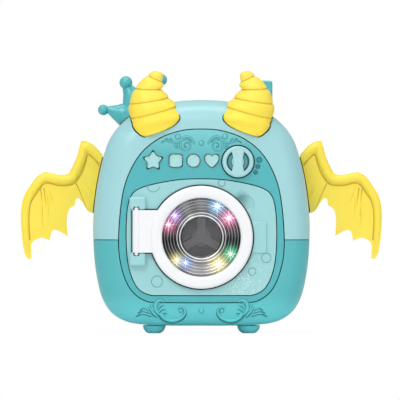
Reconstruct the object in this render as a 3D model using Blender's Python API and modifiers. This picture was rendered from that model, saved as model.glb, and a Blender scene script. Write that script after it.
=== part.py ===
# Toy washing machine with two horns, two wings and a crown, taken apart into its separate pieces.
# Metres, +Z up. The front faces -Y, +X is to the viewer's right, and the origin is on the floor
# under the middle of the body.

import math

import bmesh
import bpy
from mathutils import Vector

# Gaps and walls that several pieces share
SEAM = 0.00035
FIT = 0.0003
RUNNING = 0.0001
OVERRUN = 0.002
EMBED = 0.0008
WALL = 0.0025
MERGE = 0.000001

# Body
BODY_WIDTH = 0.1842
BODY_HEIGHT = 0.1918
BODY_DEPTH = 0.104
BODY_BOTTOM = 0.0066
FRONT_Y = -0.048
EDGE_R = 0.021
SPLIT_Z = 0.0796

# Panels let into the front
FASCIA_WIDTH = 0.140
FASCIA_HEIGHT = 0.148
FASCIA_BOTTOM = 0.0264
FASCIA_T = 0.0024
HOOD_LEDGE = 0.0022
HOOD_LEDGE_OUT = 0.003
LEDGE_T = 0.0024
SURROUND_WIDTH = 0.1272
SURROUND_HEIGHT = 0.0996
SURROUND_BOTTOM = 0.0325
SURROUND_T = 0.0029
SURROUND_PROUD = 0.0005
SURROUND_LEDGE = 0.0035
SURROUND_LEDGE_OUT = 0.0025

# Door, centred on the drum's axis
DOOR_Z = 0.0818
DOOR_R = 0.0439
DOOR_FRONT_Y = -0.056
DOOR_GAP = 0.0006
DOOR_BORE_R = 0.0333
DOOR_EDGE_R = 0.0026
BEZEL_SEAT_R = 0.0350
BEZEL_SEAT_DEPTH = 0.0036
BEZEL_FLANGE_T = 0.0014
BEZEL_T = 0.0012
BEZEL_STEP = 0.0017
LENS_R = 0.0172
LENS_T = 0.0016
LENS_CROWN = 0.0016
LENS_LIP = 0.0010
HINGE_X = -0.0551
HINGE_R = 0.0033
HINGE_LOW_Z = 0.0688
HINGE_HIGH_Z = 0.1048
HINGE_PIN_R = 0.0011
HINGE_NECK_R = 0.0022
HINGE_NECK = 0.0022
ARM_T = 0.0042
EAR_WIDTH = 0.0134
EAR_LENGTH = 0.0112
EAR_ROUND = 0.0016
EAR_PROUD = 0.0063
LATCH_WIDTH = 0.0154
LATCH_HEIGHT = 0.0269
LATCH_X = 0.0477
LATCH_PROUD = 0.0016
TONGUE_X = 0.0385
TONGUE_W = 0.0024
TONGUE_H = 0.0080
TONGUE_L = 0.0030
TONGUE_GAP = 0.0007

# Lights in the mouth behind the door
MOUTH_R = 0.0310
COLLAR_T = 0.0020
COLLAR_DEPTH = 0.0050
COLLAR_LIP = 0.0020
COLLAR_LIP_T = 0.0014
LED_BOARD_R = 0.0244
LED_BOARD_T = 0.0014
LED_CIRCLE_R = 0.0272
LED_R = 0.0015
LED_HEIGHT = 0.0036
LED_ANGLES = (34, 62, 141, 158, 224, 238, 303, 330)

# Drum and what turns it
DRUM_R = 0.0340
DRUM_T = 0.0015
DRUM_MOUTH_R = 0.0265
DRUM_FRONT_GAP = 0.0011
WORKS_DEPTH = 0.0600
TUB_GAP = 0.0020
TUB_T = 0.0016
TUB_REAR_GAP = 0.0044
TUB_FLANGE_R = 0.0440
TUB_FLANGE_T = 0.0016
TUB_EAR_CIRCLE_R = 0.0500
TUB_EAR_R = 0.0045
TUB_EAR_ANGLES = (50, 130, 230, 310)
PULSATOR_R = 0.0270
PULSATOR_WIDTH = 0.0066
PULSATOR_HEIGHT = 0.0050
PULSATOR_HUB_R = 0.0070
SHAFT_R = 0.0025
BUSH_R = 0.0050
BUSH_FLANGE_R = 0.0068
BUSH_FLANGE_T = 0.0010
BUSH_LENGTH = 0.0050
GEAR_MODULE = 0.0010
GEAR_TEETH = 36
PINION_TEETH = 10
GEAR_T = 0.0040
GEAR_GAP = 0.0008
GEAR_BACKLASH = 0.00012
BRACKET_T = 0.0020
BRACKET_GAP = 0.0026
BRACKET_HALF_W = 0.0255
BRACKET_POST_X = 0.0215
BRACKET_POST_R = 0.0030
BRACKET_PIN_R = 0.0013
MOTOR_R = 0.0120
MOTOR_LENGTH = 0.0200
MOTOR_BOSS_R = 0.0030
MOTOR_ROUND = 0.0012
MOTOR_SHAFT_R = 0.00095

# Buttons, knob and board
BUTTON_Z = 0.1467
BUTTON_PROUD = 0.0024
BUTTON_TRAVEL = 0.0012
BUTTON_FLANGE_R = 0.0072
BUTTON_FLANGE_T = 0.0010
BUTTON_STEM_R = 0.0020
BUTTON_ROUND = 0.0005
STAR_X = -0.0410
STAR_R = 0.0088
SQUARE_X = -0.0217
SQUARE_SIDE = 0.0113
SQUARE_ROUND = 0.0028
CIRCLE_X = -0.0067
CIRCLE_R = 0.00565
HEART_X = 0.0088
HEART_WIDTH = 0.0124
HEART_HEIGHT = 0.0113
KNOB_X = 0.0310
KNOB_Z = 0.1459
KNOB_R = 0.0137
KNOB_RING_R = 0.0097
KNOB_HUB_R = 0.0054
KNOB_BAR = 0.0079
KNOB_FLARE = 0.0128
KNOB_PROUD = 0.0052
KNOB_GAP = 0.0004
KNOB_CHAMFER = 0.0008
KNOB_SHAFT_R = 0.0020
DIMPLE_DEPTH = 0.0008
BOARD_Y = -0.0380
BOARD_T = 0.0016
BOARD_LOW_Z = 0.1340
BOARD_HIGH_Z = 0.1600
BOARD_WIDTH = 0.1160
BOARD_POST_R = 0.0024
BOARD_POST_X = 0.0530
BOARD_POST_Z = 0.1385
SWITCH_SIDE = 0.0060
SWITCH_T = 0.0016
ROTARY_R = 0.0062

# Case screws and their posts
POST_R = 0.0048
POST_X = 0.0640
POST_LOW_Z = 0.0340
POST_HIGH_Z = 0.1480
SCREW_R = 0.0014
SCREW_HEAD_R = 0.0030
SCREW_HEAD_T = 0.0020
SCREW_GAP = 0.0002
SCREW_BITE = 0.0100
SCREW_SINK = 0.0120
SMALL_SCREW_R = 0.0010
SMALL_SCREW_HEAD_R = 0.0021
SMALL_SCREW_HEAD_T = 0.0014

# Batteries and what else the back holds
CELL_R = 0.00725
CELL_LENGTH = 0.0490
CELL_NUB_R = 0.0027
CELL_NUB = 0.0015
CELL_PITCH = 0.0154
CELL_COUNT = 3
CELL_LOW_Z = 0.0420
BATTERY_WALL = 0.0016
CONTACT_T = 0.0005
CONTACT_WIDTH = 0.0090
CONTACT_SPACE = 0.0030
CONTACT_BUMP_R = 0.0022
DOOR_PLATE_T = 0.0022
HATCH_TAB_W = 0.0110
HATCH_TAB_H = 0.0080
HATCH_SCREW_L = 0.0080
HATCH_BOSS_R = 0.0036
HATCH_BOSS_L = 0.0110
SPEAKER_R = 0.0180
SPEAKER_MAGNET_R = 0.0100
SPEAKER_DEPTH = 0.0080
SPEAKER_FRAME_T = 0.0020
SPEAKER_X = -0.0360
SPEAKER_Z = 0.1400
GRILLE_SLOT = 0.0018
GRILLE_PITCH = 0.0042
GRILLE_LENGTH = 0.0240
GRILLE_COUNT = 5
POWER_X = 0.0380
POWER_Z = 0.1300
POWER_SLOT_W = 0.0090
POWER_SLOT_H = 0.0038
POWER_BODY_W = 0.0160
POWER_BODY_H = 0.0080
POWER_BODY_D = 0.0065
POWER_TRAVEL = 0.0030
POWER_NUB_W = 0.0046

# Feet
FOOT_R = 0.00965
FOOT_BASE_SHARE = 0.62
FOOT_X = 0.0402
FOOT_STEM_R = 0.0030
FOOT_STEM = 0.0050

# Horns
HORN_X = 0.0392
HORN_Y = -0.0360
HORN_R = 0.0226
HORN_SINK = 0.0344
HORN_HEIGHT = 0.0592
HORN_BULGE_SHARE = 0.075
HORN_DEPTH_SHARE = 0.88
HORN_PEG_R = 0.0040
HORN_PEG_SINK = 0.0154
HORN_CORE_R = 0.0150
HORN_CORE_TOP_R = 0.0070
HORN_CORE_RISE = 0.0056

# Wings
WING_WIDTH = 0.0697
WING_HEIGHT = 0.1004
WING_LOW_Z = 0.0635
WING_SINK = 0.0076
WING_T = 0.0048
WING_BONE_R = 0.0040
WING_NECK_T = 0.0044
WING_NECK_H = 0.0340
WING_NECK_Z = 0.1270
WING_NECK_LEAN = 9.5
WING_NECK_OUTER_SINK = 0.0021
WING_NECK_INNER_SINK = 0.0121
WING_TAB_T = 0.0022
WING_TAB_WIDTH = 0.0140

# Crown and the box beside it
CROWN_X = -0.0641
CROWN_Y = 0.0220
CROWN_RISE = 0.0152
CROWN_LEAN = 27.5
CROWN_HALF = 0.0278
CROWN_HEIGHT = 0.0460
CROWN_T = 0.0130
CROWN_ROUND = 0.0016
CROWN_BALLS = ((-1, 0.0045), (0, 0.0055), (1, 0.0050))
CROWN_DROP_SHARE = 0.25
PEG_R = 0.0035
PEG_LENGTH = 0.0110
BOX_LOW_X = 0.0380
BOX_HIGH_X = 0.0604
BOX_Y = 0.0200
BOX_DEPTH = 0.0240
BOX_RISE = 0.0166
BOX_SINK = 0.0244
BOX_ROUND = 0.0016
BOX_WALL = 0.0018

# Wires inside
WIRE_R = 0.0009
WIRE_BOW = 0.0280
WIRE_POINTS = 12

# Shares of half the width, and of the height from the top
BODY_SHARES = (
    (0.000, 0.000), (0.240, 0.007), (0.470, 0.032), (0.670, 0.076), (0.838, 0.166),
    (0.930, 0.298), (0.985, 0.455), (1.000, 0.590), (0.975, 0.755), (0.905, 0.890),
    (0.765, 0.966), (0.520, 0.996), (0.000, 1.000),
)
FASCIA_SHARES = (
    (0.000, 0.000), (0.250, 0.010), (0.516, 0.056), (0.740, 0.146), (0.890, 0.275),
    (0.965, 0.420), (1.000, 0.640), (0.970, 0.785), (0.870, 0.912), (0.700, 0.984),
    (0.462, 0.998),
)
SURROUND_SHARES = (
    (0.000, 0.000), (0.300, 0.008), (0.600, 0.040), (0.810, 0.079), (0.925, 0.134),
    (0.980, 0.240), (1.000, 0.430), (0.990, 0.640), (0.945, 0.790), (0.850, 0.915),
    (0.700, 0.985), (0.481, 0.998),
)
HEART_SHARES = (
    (0.00, 0.150), (0.20, 0.050), (0.50, 0.000), (0.84, 0.090), (1.00, 0.310),
    (0.90, 0.540), (0.60, 0.770), (0.24, 0.960), (0.00, 1.010),
)

# Shares of a wing's span from the body outwards, and of its height from its lowest tip
WING_SHARES = (
    (-0.090, 0.820), (0.000, 0.866), (0.072, 0.940), (0.171, 0.988), (0.259, 1.000),
    (0.290, 0.929), (0.315, 0.850), (0.363, 0.765), (0.430, 0.718), (0.550, 0.713),
    (0.650, 0.730), (0.740, 0.725), (0.866, 0.640), (0.971, 0.520), (1.000, 0.400),
    (1.000, 0.284), (0.980, 0.130), (0.948, 0.032), (0.900, 0.000), (0.874, 0.020),
    (0.877, 0.121), (0.848, 0.158), (0.784, 0.182), (0.726, 0.184), (0.650, 0.162),
    (0.625, 0.232), (0.585, 0.251), (0.516, 0.237), (0.428, 0.202), (0.436, 0.300),
    (0.430, 0.380), (0.399, 0.432), (0.346, 0.456), (0.329, 0.506), (0.294, 0.512),
    (0.248, 0.478), (0.177, 0.405), (0.100, 0.388), (-0.020, 0.388),
)
BONE_SHARES = (
    (-0.060, 0.800), (0.037, 0.853), (0.122, 0.912), (0.213, 0.946), (0.250, 0.865),
    (0.305, 0.770), (0.390, 0.678), (0.537, 0.669), (0.720, 0.685), (0.841, 0.597),
    (0.922, 0.497), (0.948, 0.395), (0.948, 0.277), (0.930, 0.133), (0.908, 0.040),
)
BONE_SIZE_SHARES = (
    0.9, 0.95, 1.0, 1.0, 1.0, 1.05, 1.05, 1.0, 1.0, 0.95, 0.9, 0.85, 0.8, 0.65, 0.4,
)

# Horn bands from the base up: height, radius, lean outwards and tilt, as shares of the horn
HORN_BAND_SHARES = (
    (0.000, 0.30, 0.20, 0.20), (0.130, 0.88, 0.10, 0.22), (0.410, 0.865, 0.03, 0.25),
    (0.575, 0.72, 0.17, 0.17), (0.730, 0.47, 0.20, 0.03), (0.875, 0.24, -0.02, -0.30),
    (1.000, 0.05, -0.06, -0.30),
)

# Crown outline on its right half: shares of half its width, and of its height from the middle tip
CROWN_SHARES = (
    (0.100, 0.050), (0.165, 0.210), (0.290, 0.290), (0.430, 0.305), (0.700, 0.265),
    (0.930, 0.175), (1.000, 0.270), (0.900, 0.430), (0.740, 0.640), (0.640, 1.000),
)

# Star, heart and knob outlines, as shares of their own size
STAR_INNER_SHARE = 0.60
STAR_SOFT_SHARE = 0.16
KNOB_SWELL_SHARE = 1.1
DIMPLE_SHARES = ((1.57, 0.00, 0.18), (1.45, -0.37, 0.14), (1.28, -0.76, 0.12))
BEZEL_STEP_SHARES = (0.0, 0.29, 0.555, 0.794, 1.0)

# Derived places
MID_Y = FRONT_Y + BODY_DEPTH / 2
REAR_Y = FRONT_Y + BODY_DEPTH
BODY_MID_Z = BODY_BOTTOM + BODY_HEIGHT / 2
BODY_TOP = BODY_BOTTOM + BODY_HEIGHT
HORN_LOW_Z = BODY_TOP - HORN_SINK
HORN_PEG_LOW_Z = BODY_TOP - HORN_PEG_SINK
HORN_CORE_Z = BODY_TOP + HORN_CORE_RISE
CROWN_Z = BODY_TOP + CROWN_RISE
BOX_TOP_Z = BODY_TOP + BOX_RISE
BOX_LOW_Z = BODY_TOP - BOX_SINK
WING_ROOT_X = BODY_WIDTH / 2 - WING_SINK
WING_NECK_OUT_X = BODY_WIDTH / 2 - WING_NECK_OUTER_SINK
WING_NECK_IN_X = BODY_WIDTH / 2 - WING_NECK_INNER_SINK
FASCIA_BACK_Y = FRONT_Y + FASCIA_T
PANEL_Y = FRONT_Y - SURROUND_PROUD
PANEL_BACK_Y = PANEL_Y + SURROUND_T
DOOR_BACK_Y = PANEL_Y - DOOR_GAP
HINGE_Y = DOOR_FRONT_Y + HINGE_R
COLLAR_BACK_Y = PANEL_BACK_Y + COLLAR_DEPTH
DRUM_FRONT_Y = COLLAR_BACK_Y + DRUM_FRONT_GAP
DRUM_DEPTH = BODY_DEPTH - WORKS_DEPTH
DRUM_BACK_Y = DRUM_FRONT_Y + DRUM_DEPTH
TUB_FRONT_Y = COLLAR_BACK_Y + FIT
TUB_BACK_Y = DRUM_BACK_Y + TUB_REAR_GAP + TUB_T
GEAR_Y = TUB_BACK_Y + BUSH_FLANGE_T + FIT + GEAR_GAP
PLATE_Y = GEAR_Y + GEAR_T + BRACKET_GAP
GEAR_CENTRES = GEAR_MODULE * (GEAR_TEETH + PINION_TEETH) / 2
MOTOR_Z = DOOR_Z + GEAR_CENTRES
REAR_INNER_Y = REAR_Y - WALL
CELL_Y = REAR_INNER_Y - FIT - CELL_R - FIT
CELL_HIGH_Z = CELL_LOW_Z + (CELL_COUNT - 1) * CELL_PITCH
FRONT_TURN = (math.pi / 2, 0, 0)


def collection(name):
    """A new collection in the scene."""
    group = bpy.data.collections.new(name)
    bpy.context.scene.collection.children.link(group)
    return group


for leftover in list(bpy.data.objects):
    bpy.data.objects.remove(leftover, do_unlink=True)
PARTS = collection("toy_washing_machine")


def material(name, colour, roughness, metallic=0.0, alpha=1.0):
    """A Principled material; colour is linear red, green and blue."""
    mat = bpy.data.materials.new(name)
    mat.use_nodes = True
    shader = mat.node_tree.nodes["Principled BSDF"]
    shader.inputs["Base Color"].default_value = (*colour, 1.0)
    shader.inputs["Roughness"].default_value = roughness
    shader.inputs["Metallic"].default_value = metallic
    shader.inputs["Alpha"].default_value = alpha
    return mat


LIGHT_TEAL = material("light_teal_plastic", (0.35, 0.67, 0.69), 0.35)
DARK_TEAL = material("dark_teal_plastic", (0.08, 0.46, 0.48), 0.35)
YELLOW = material("yellow_plastic", (0.96, 0.78, 0.10), 0.4)
WHITE = material("white_plastic", (0.88, 0.88, 0.88), 0.3)
CHROME = material("chrome_plating", (0.60, 0.60, 0.62), 0.12, 1.0)
SMOKE = material("clear_smoke_plastic", (0.30, 0.31, 0.31), 0.1, 0.0, 0.35)
GREY = material("grey_plastic", (0.16, 0.16, 0.17), 0.5)
DARK_GREY = material("dark_grey_plastic", (0.07, 0.075, 0.072), 0.5)
STEEL = material("bright_steel", (0.55, 0.55, 0.55), 0.3, 1.0)
BRASS = material("brass", (0.60, 0.45, 0.18), 0.35, 1.0)
BOARD_GREEN = material("board_green", (0.02, 0.18, 0.07), 0.5)
NATURAL = material("natural_plastic", (0.75, 0.73, 0.66), 0.5)
BLACK = material("black_plastic", (0.02, 0.02, 0.02), 0.5)
CELL_SHEATH = material("cell_sheath", (0.05, 0.10, 0.20), 0.4)
RUBBER = material("foot_rubber", (0.07, 0.38, 0.41), 0.7)


def add(name, mesh, place, turn=(0, 0, 0)):
    """An object that holds a mesh, in the parts' collection."""
    piece = bpy.data.objects.new(name, mesh)
    piece.location = place
    piece.rotation_euler = turn
    PARTS.objects.link(piece)
    return piece


def from_bmesh(name, shape, place, turn=(0, 0, 0)):
    """An object from a bmesh, with its faces turned outwards."""
    bmesh.ops.remove_doubles(shape, verts=shape.verts, dist=MERGE)
    bmesh.ops.recalc_face_normals(shape, faces=shape.faces)
    mesh = bpy.data.meshes.new(name)
    shape.to_mesh(mesh)
    shape.free()
    return add(name, mesh, place, turn)


def block(name, low, high, rounding=0.0, segments=1):
    """A box between two corners, with rounded edges where a radius is given."""
    low, high = Vector(low), Vector(high)
    shape = bmesh.new()
    bmesh.ops.create_cube(shape, size=1.0)
    bmesh.ops.scale(shape, vec=high - low, verts=shape.verts)
    if rounding > 0:
        bmesh.ops.bevel(shape, geom=shape.edges[:], offset=rounding, offset_type="OFFSET",
                        segments=segments, profile=0.5, affect="EDGES", clamp_overlap=True)
    return from_bmesh(name, shape, (low + high) / 2)


def rod(name, radius, start, end, segments=16, end_radius=None):
    """A cylinder or cone between two points."""
    start, end = Vector(start), Vector(end)
    shape = bmesh.new()
    bmesh.ops.create_cone(shape, cap_ends=True, segments=segments, radius1=radius,
                          radius2=radius if end_radius is None else end_radius,
                          depth=(end - start).length)
    turn = (end - start).to_track_quat("Z", "Y").to_euler()
    return from_bmesh(name, shape, (start + end) / 2, turn)


def ball(name, radius, place, columns=16, rows=10):
    """A sphere."""
    shape = bmesh.new()
    bmesh.ops.create_uvsphere(shape, u_segments=columns, v_segments=rows, radius=radius)
    return from_bmesh(name, shape, place)


def turned(name, profile, place, turn=FRONT_TURN, steps=48, closed=False):
    """A profile of (radius, height) points spun round the local Z axis, top to bottom."""
    mesh = bpy.data.meshes.new(name)
    count = len(profile)
    edges = [(i, (i + 1) % count) for i in range(count if closed else count - 1)]
    mesh.from_pydata([(radius, 0, height) for radius, height in profile], edges, [])
    piece = add(name, mesh, place, turn)
    spin = piece.modifiers.new("spin", "SCREW")
    spin.steps = steps
    spin.render_steps = steps
    spin.use_merge_vertices = True
    spin.merge_threshold = MERGE
    bake(piece, True)
    return piece


def bake(piece, outwards=False):
    """Replace a piece's mesh by what its modifiers make of it."""
    graph = bpy.context.evaluated_depsgraph_get()
    mesh = bpy.data.meshes.new_from_object(piece.evaluated_get(graph))
    piece.modifiers.clear()
    old, piece.data = piece.data, mesh
    bpy.data.meshes.remove(old)
    shape = bmesh.new()
    shape.from_mesh(mesh)
    bmesh.ops.remove_doubles(shape, verts=shape.verts, dist=MERGE)
    if outwards:
        bmesh.ops.recalc_face_normals(shape, faces=shape.faces)
    shape.to_mesh(mesh)
    shape.free()


def combine(piece, other, operation, crossing=False):
    """One Boolean step; the other piece is used up. Crossing shapes may cross themselves."""
    step = piece.modifiers.new(operation.lower(), "BOOLEAN")
    step.operation = operation
    step.solver = "EXACT"
    step.use_self = crossing
    step.object = other
    bpy.context.view_layer.update()
    bake(piece)
    bpy.data.objects.remove(other, do_unlink=True)
    return piece


def cut(piece, *others):
    """Take other shapes out of a piece."""
    for other in others:
        combine(piece, other, "DIFFERENCE")
    return piece


def join(piece, *others):
    """Add other shapes to a piece."""
    for other in others:
        combine(piece, other, "UNION")
    return piece


def keep(piece, other):
    """Keep only what a piece shares with another shape."""
    return combine(piece, other, "INTERSECT")


def copy_of(piece, name):
    """A second object with its own copy of a piece's mesh."""
    twin = add(name, piece.data.copy(), piece.location, piece.rotation_euler)
    return twin


def finish(piece, mat, sharp=35):
    """Give a piece its material and smooth shading with sharp edges."""
    piece.data.name = piece.name
    piece.data.materials.clear()
    piece.data.materials.append(mat)
    piece.data.shade_smooth()
    piece.data.set_sharp_from_angle(angle=math.radians(sharp))
    return piece


def carry(pivot_name, place, pieces):
    """Parent pieces to an empty on their joint's axis, and leave them where they are."""
    pivot = bpy.data.objects.new(pivot_name, None)
    pivot.location = place
    PARTS.objects.link(pivot)
    bpy.context.view_layer.update()
    for piece in pieces:
        piece.parent = pivot
        piece.matrix_parent_inverse = pivot.matrix_world.inverted()


def smooth_loop(points, steps=2, closed=True):
    """A curve through the points, with some points added between them."""
    count = len(points)
    result = []
    for i in range(count if closed else count - 1):
        if closed:
            near = [Vector(points[(i + k) % count]) for k in (-1, 0, 1, 2)]
        else:
            near = [Vector(points[min(max(i + k, 0), count - 1)]) for k in (-1, 0, 1, 2)]
        for step in range(steps):
            t = step / steps
            before, start, end, after = near
            result.append(0.5 * (2 * start + (end - before) * t
                                 + (2 * before - 5 * start + 4 * end - after) * t * t
                                 + (3 * start - before - 3 * end + after) * t ** 3))
    if not closed:
        result.append(Vector(points[-1]))
    return result


def grown(points, distance):
    """A closed outline moved outwards by a distance, with its corners mitred."""
    count = len(points)
    area = sum(points[i - 1].cross(points[i]) for i in range(count))
    side = 1 if area > 0 else -1
    result = []
    for i in range(count):
        before = (points[i] - points[i - 1]).normalized()
        after = (points[(i + 1) % count] - points[i]).normalized()
        along = (before + after).normalized()
        reach = distance / max(along.dot(before), 0.5)
        result.append(points[i] + Vector((along.y, -along.x)) * side * reach)
    return result


def half_outline(shares, width, height, bottom, steps=2):
    """A closed outline, mirrored left to right, from the shares of its right half."""
    right = [Vector((x * width / 2, bottom + (1 - z) * height)) for x, z in shares]
    left = [Vector((-point.x, point.y)) for point in reversed(right) if point.x > 0]
    return smooth_loop(right + left, steps)


def slab(name, outline, front_y, back_y, rounding=0.0, resolution=1, place=(0.0, 0.0), lean=0.0):
    """A flat piece facing the front: an outline in X and Z with a thickness along Y."""
    outline = grown(outline, -rounding) if rounding > 0 else outline
    data = bpy.data.curves.new(name, "CURVE")
    data.dimensions = "2D"
    data.fill_mode = "BOTH"
    data.extrude = abs(back_y - front_y) / 2 - rounding
    data.bevel_depth = rounding
    data.bevel_resolution = resolution
    line = data.splines.new("POLY")
    line.points.add(len(outline) - 1)
    for point, (x, z) in zip(line.points, outline):
        point.co = (x, z, 0, 1)
    line.use_cyclic_u = True
    source = bpy.data.objects.new(name, data)
    PARTS.objects.link(source)
    turn = (math.pi / 2, lean, 0)
    piece = curve_to_mesh(source, name, (place[0], (front_y + back_y) / 2, place[1]), turn)
    return piece


def curve_to_mesh(source, name, place, turn=(0, 0, 0)):
    """Turn a curve into a closed mesh piece, and remove the curve."""
    bpy.context.view_layer.update()
    graph = bpy.context.evaluated_depsgraph_get()
    mesh = bpy.data.meshes.new_from_object(source.evaluated_get(graph))
    data = source.data
    bpy.data.objects.remove(source, do_unlink=True)
    bpy.data.curves.remove(data)
    shape = bmesh.new()
    shape.from_mesh(mesh)
    bpy.data.meshes.remove(mesh)
    return from_bmesh(name, shape, place, turn)


def tube(name, points, radius, sizes=None, resolution=2, place=(0, 0, 0)):
    """A round tube along points, with a size for each point where sizes are given."""
    data = bpy.data.curves.new(name, "CURVE")
    data.dimensions = "3D"
    data.bevel_depth = radius
    data.bevel_resolution = resolution
    data.use_fill_caps = True
    line = data.splines.new("POLY")
    line.points.add(len(points) - 1)
    for i, point in enumerate(points):
        line.points[i].co = (*point, 1)
        line.points[i].radius = sizes[i] if sizes else 1.0
    source = bpy.data.objects.new(name, data)
    PARTS.objects.link(source)
    return curve_to_mesh(source, name, place)


def circle_outline(radius, count=32, centre=(0.0, 0.0)):
    """Points on a circle."""
    return [Vector((centre[0] + radius * math.cos(math.tau * i / count),
                    centre[1] + radius * math.sin(math.tau * i / count))) for i in range(count)]


def casing_form(name, grow, steps=2):
    """The body's outer form with rolled edges, made larger or smaller all over."""
    outline = half_outline(BODY_SHARES, BODY_WIDTH, BODY_HEIGHT, BODY_BOTTOM, steps)
    outline = grown(outline, -EDGE_R)
    edge = EDGE_R + grow
    outer = grown(outline, edge)
    return slab(name, outer, FRONT_Y - grow, REAR_Y + grow, edge, steps)


def fascia_outline(grow=0.0):
    """The arched front panel's outline."""
    return grown(half_outline(FASCIA_SHARES, FASCIA_WIDTH, FASCIA_HEIGHT, FASCIA_BOTTOM), grow)


def surround_outline(grow=0.0):
    """The outline of the panel round the door."""
    return grown(half_outline(SURROUND_SHARES, SURROUND_WIDTH, SURROUND_HEIGHT, SURROUND_BOTTOM),
                 grow)


def half_space(name, low_y, high_y, low_z, high_z):
    """A block wider than the body, between two depths and two heights."""
    reach = BODY_WIDTH
    return block(name, (-reach, low_y, low_z), (reach, high_y, high_z))


# Buttons' outlines

def star_outline(grow=0.0):
    """A five-pointed star with rounded tips."""
    corners = []
    for i in range(10):
        radius = STAR_R if i % 2 == 0 else STAR_R * STAR_INNER_SHARE
        angle = math.pi / 2 + math.tau * i / 10
        corners.append(Vector((math.cos(angle), math.sin(angle))) * radius)
    points = []
    for i, corner in enumerate(corners):
        if i % 2:
            points.append(corner)
            continue
        before = (corners[i - 1] - corner) * STAR_SOFT_SHARE
        after = (corners[(i + 1) % 10] - corner) * STAR_SOFT_SHARE
        points += [corner + before, corner + (before + after) / 4, corner + after]
    return grown(points, grow)


def square_outline(grow=0.0):
    """A square with rounded corners."""
    half = SQUARE_SIDE / 2 + grow
    radius = SQUARE_ROUND + grow
    points = []
    for corner in range(4):
        middle = math.pi / 4 + corner * math.pi / 2
        centre = Vector((math.copysign(half - radius, math.cos(middle)),
                         math.copysign(half - radius, math.sin(middle))))
        for step in range(5):
            angle = corner * math.pi / 2 + step * math.pi / 8
            points.append(centre + Vector((math.cos(angle), math.sin(angle))) * radius)
    return points


def round_outline(grow=0.0):
    """The round button's outline."""
    return circle_outline(CIRCLE_R + grow, 24)


def heart_outline(grow=0.0):
    """A heart with a soft cleft and a soft tip."""
    return grown(half_outline(HEART_SHARES, HEART_WIDTH, HEART_HEIGHT, -HEART_HEIGHT / 2, 1),
                 grow)


BUTTONS = (
    ("star_button", STAR_X, star_outline),
    ("square_button", SQUARE_X, square_outline),
    ("circle_button", CIRCLE_X, round_outline),
    ("heart_button", HEART_X, heart_outline),
)


# Casing shells

def casing_shells():
    """Hood and base in front, which meet at the colour line, and one rear shell."""
    rear = casing_form("rear_shell", 0)
    cut(rear, casing_form("hollow", -WALL, 1))
    front = copy_of(rear, "front_shell")
    reach = BODY_HEIGHT + BODY_DEPTH
    keep(front, half_space("front_half", FRONT_Y - reach, MID_Y - SEAM / 2, -reach, reach))
    keep(rear, half_space("rear_half", MID_Y + SEAM / 2, REAR_Y + reach, -reach, reach))

    pocket_y = FASCIA_BACK_Y + FIT
    join(front, slab("ledge", fascia_outline(HOOD_LEDGE_OUT), FRONT_Y + WALL / 2,
                     pocket_y + LEDGE_T))
    cut(front, slab("pocket", fascia_outline(SEAM), FRONT_Y - OVERRUN, pocket_y),
        slab("opening", fascia_outline(-HOOD_LEDGE), FRONT_Y - OVERRUN,
             pocket_y + LEDGE_T + OVERRUN))

    for x in (-POST_X, POST_X):
        for z in (POST_LOW_Z, POST_HIGH_Z):
            join(front, rod("post", POST_R, (x, FRONT_Y + WALL - EMBED, z),
                            (x, MID_Y - SEAM / 2, z), 16))
            cut(front, rod("bite", SCREW_R + SCREW_GAP, (x, MID_Y - SCREW_BITE - OVERRUN, z),
                           (x, MID_Y + OVERRUN, z), 10))
            join(rear, rod("post", POST_R, (x, MID_Y + SEAM / 2, z),
                           (x, REAR_INNER_Y + EMBED, z), 16))
            cut(rear, rod("way", SCREW_R + SCREW_GAP, (x, MID_Y - OVERRUN, z),
                          (x, REAR_Y + OVERRUN, z), 10),
                rod("sink", SCREW_HEAD_R + FIT, (x, REAR_Y - SCREW_SINK, z),
                    (x, REAR_Y + OVERRUN, z), 12))

    for side in (-1, 1):
        cut(front, wing_neck("slot", side, FIT))
        cut(rear, wing_neck("slot", side, FIT))
        cut(front, rod("peg_hole", HORN_PEG_R + FIT,
                       (side * HORN_X, HORN_Y, HORN_PEG_LOW_Z - OVERRUN),
                       (side * HORN_X, HORN_Y, BODY_TOP + OVERRUN)))
        for y, shell in ((foot_y(-1), front), (foot_y(1), rear)):
            cut(shell, rod("foot_hole", FOOT_STEM_R + FIT, (side * FOOT_X, y, BODY_BOTTOM - OVERRUN),
                           (side * FOOT_X, y, BODY_BOTTOM + WALL + OVERRUN)))

    base = copy_of(front, "base_shell")
    front.name = "hood_shell"
    keep(front, half_space("above", FRONT_Y - reach, REAR_Y + reach, SPLIT_Z + SEAM / 2, reach))
    keep(base, half_space("below", FRONT_Y - reach, REAR_Y + reach, -reach, SPLIT_Z - SEAM / 2))

    rear_openings(rear)
    finish(front, LIGHT_TEAL)
    finish(base, DARK_TEAL)
    finish(rear, DARK_TEAL)


def foot_y(end):
    """Where a front (-1) or rear (1) foot stands, just inside the rolled edge."""
    return MID_Y + end * (BODY_DEPTH / 2 - EDGE_R - FOOT_R)


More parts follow.
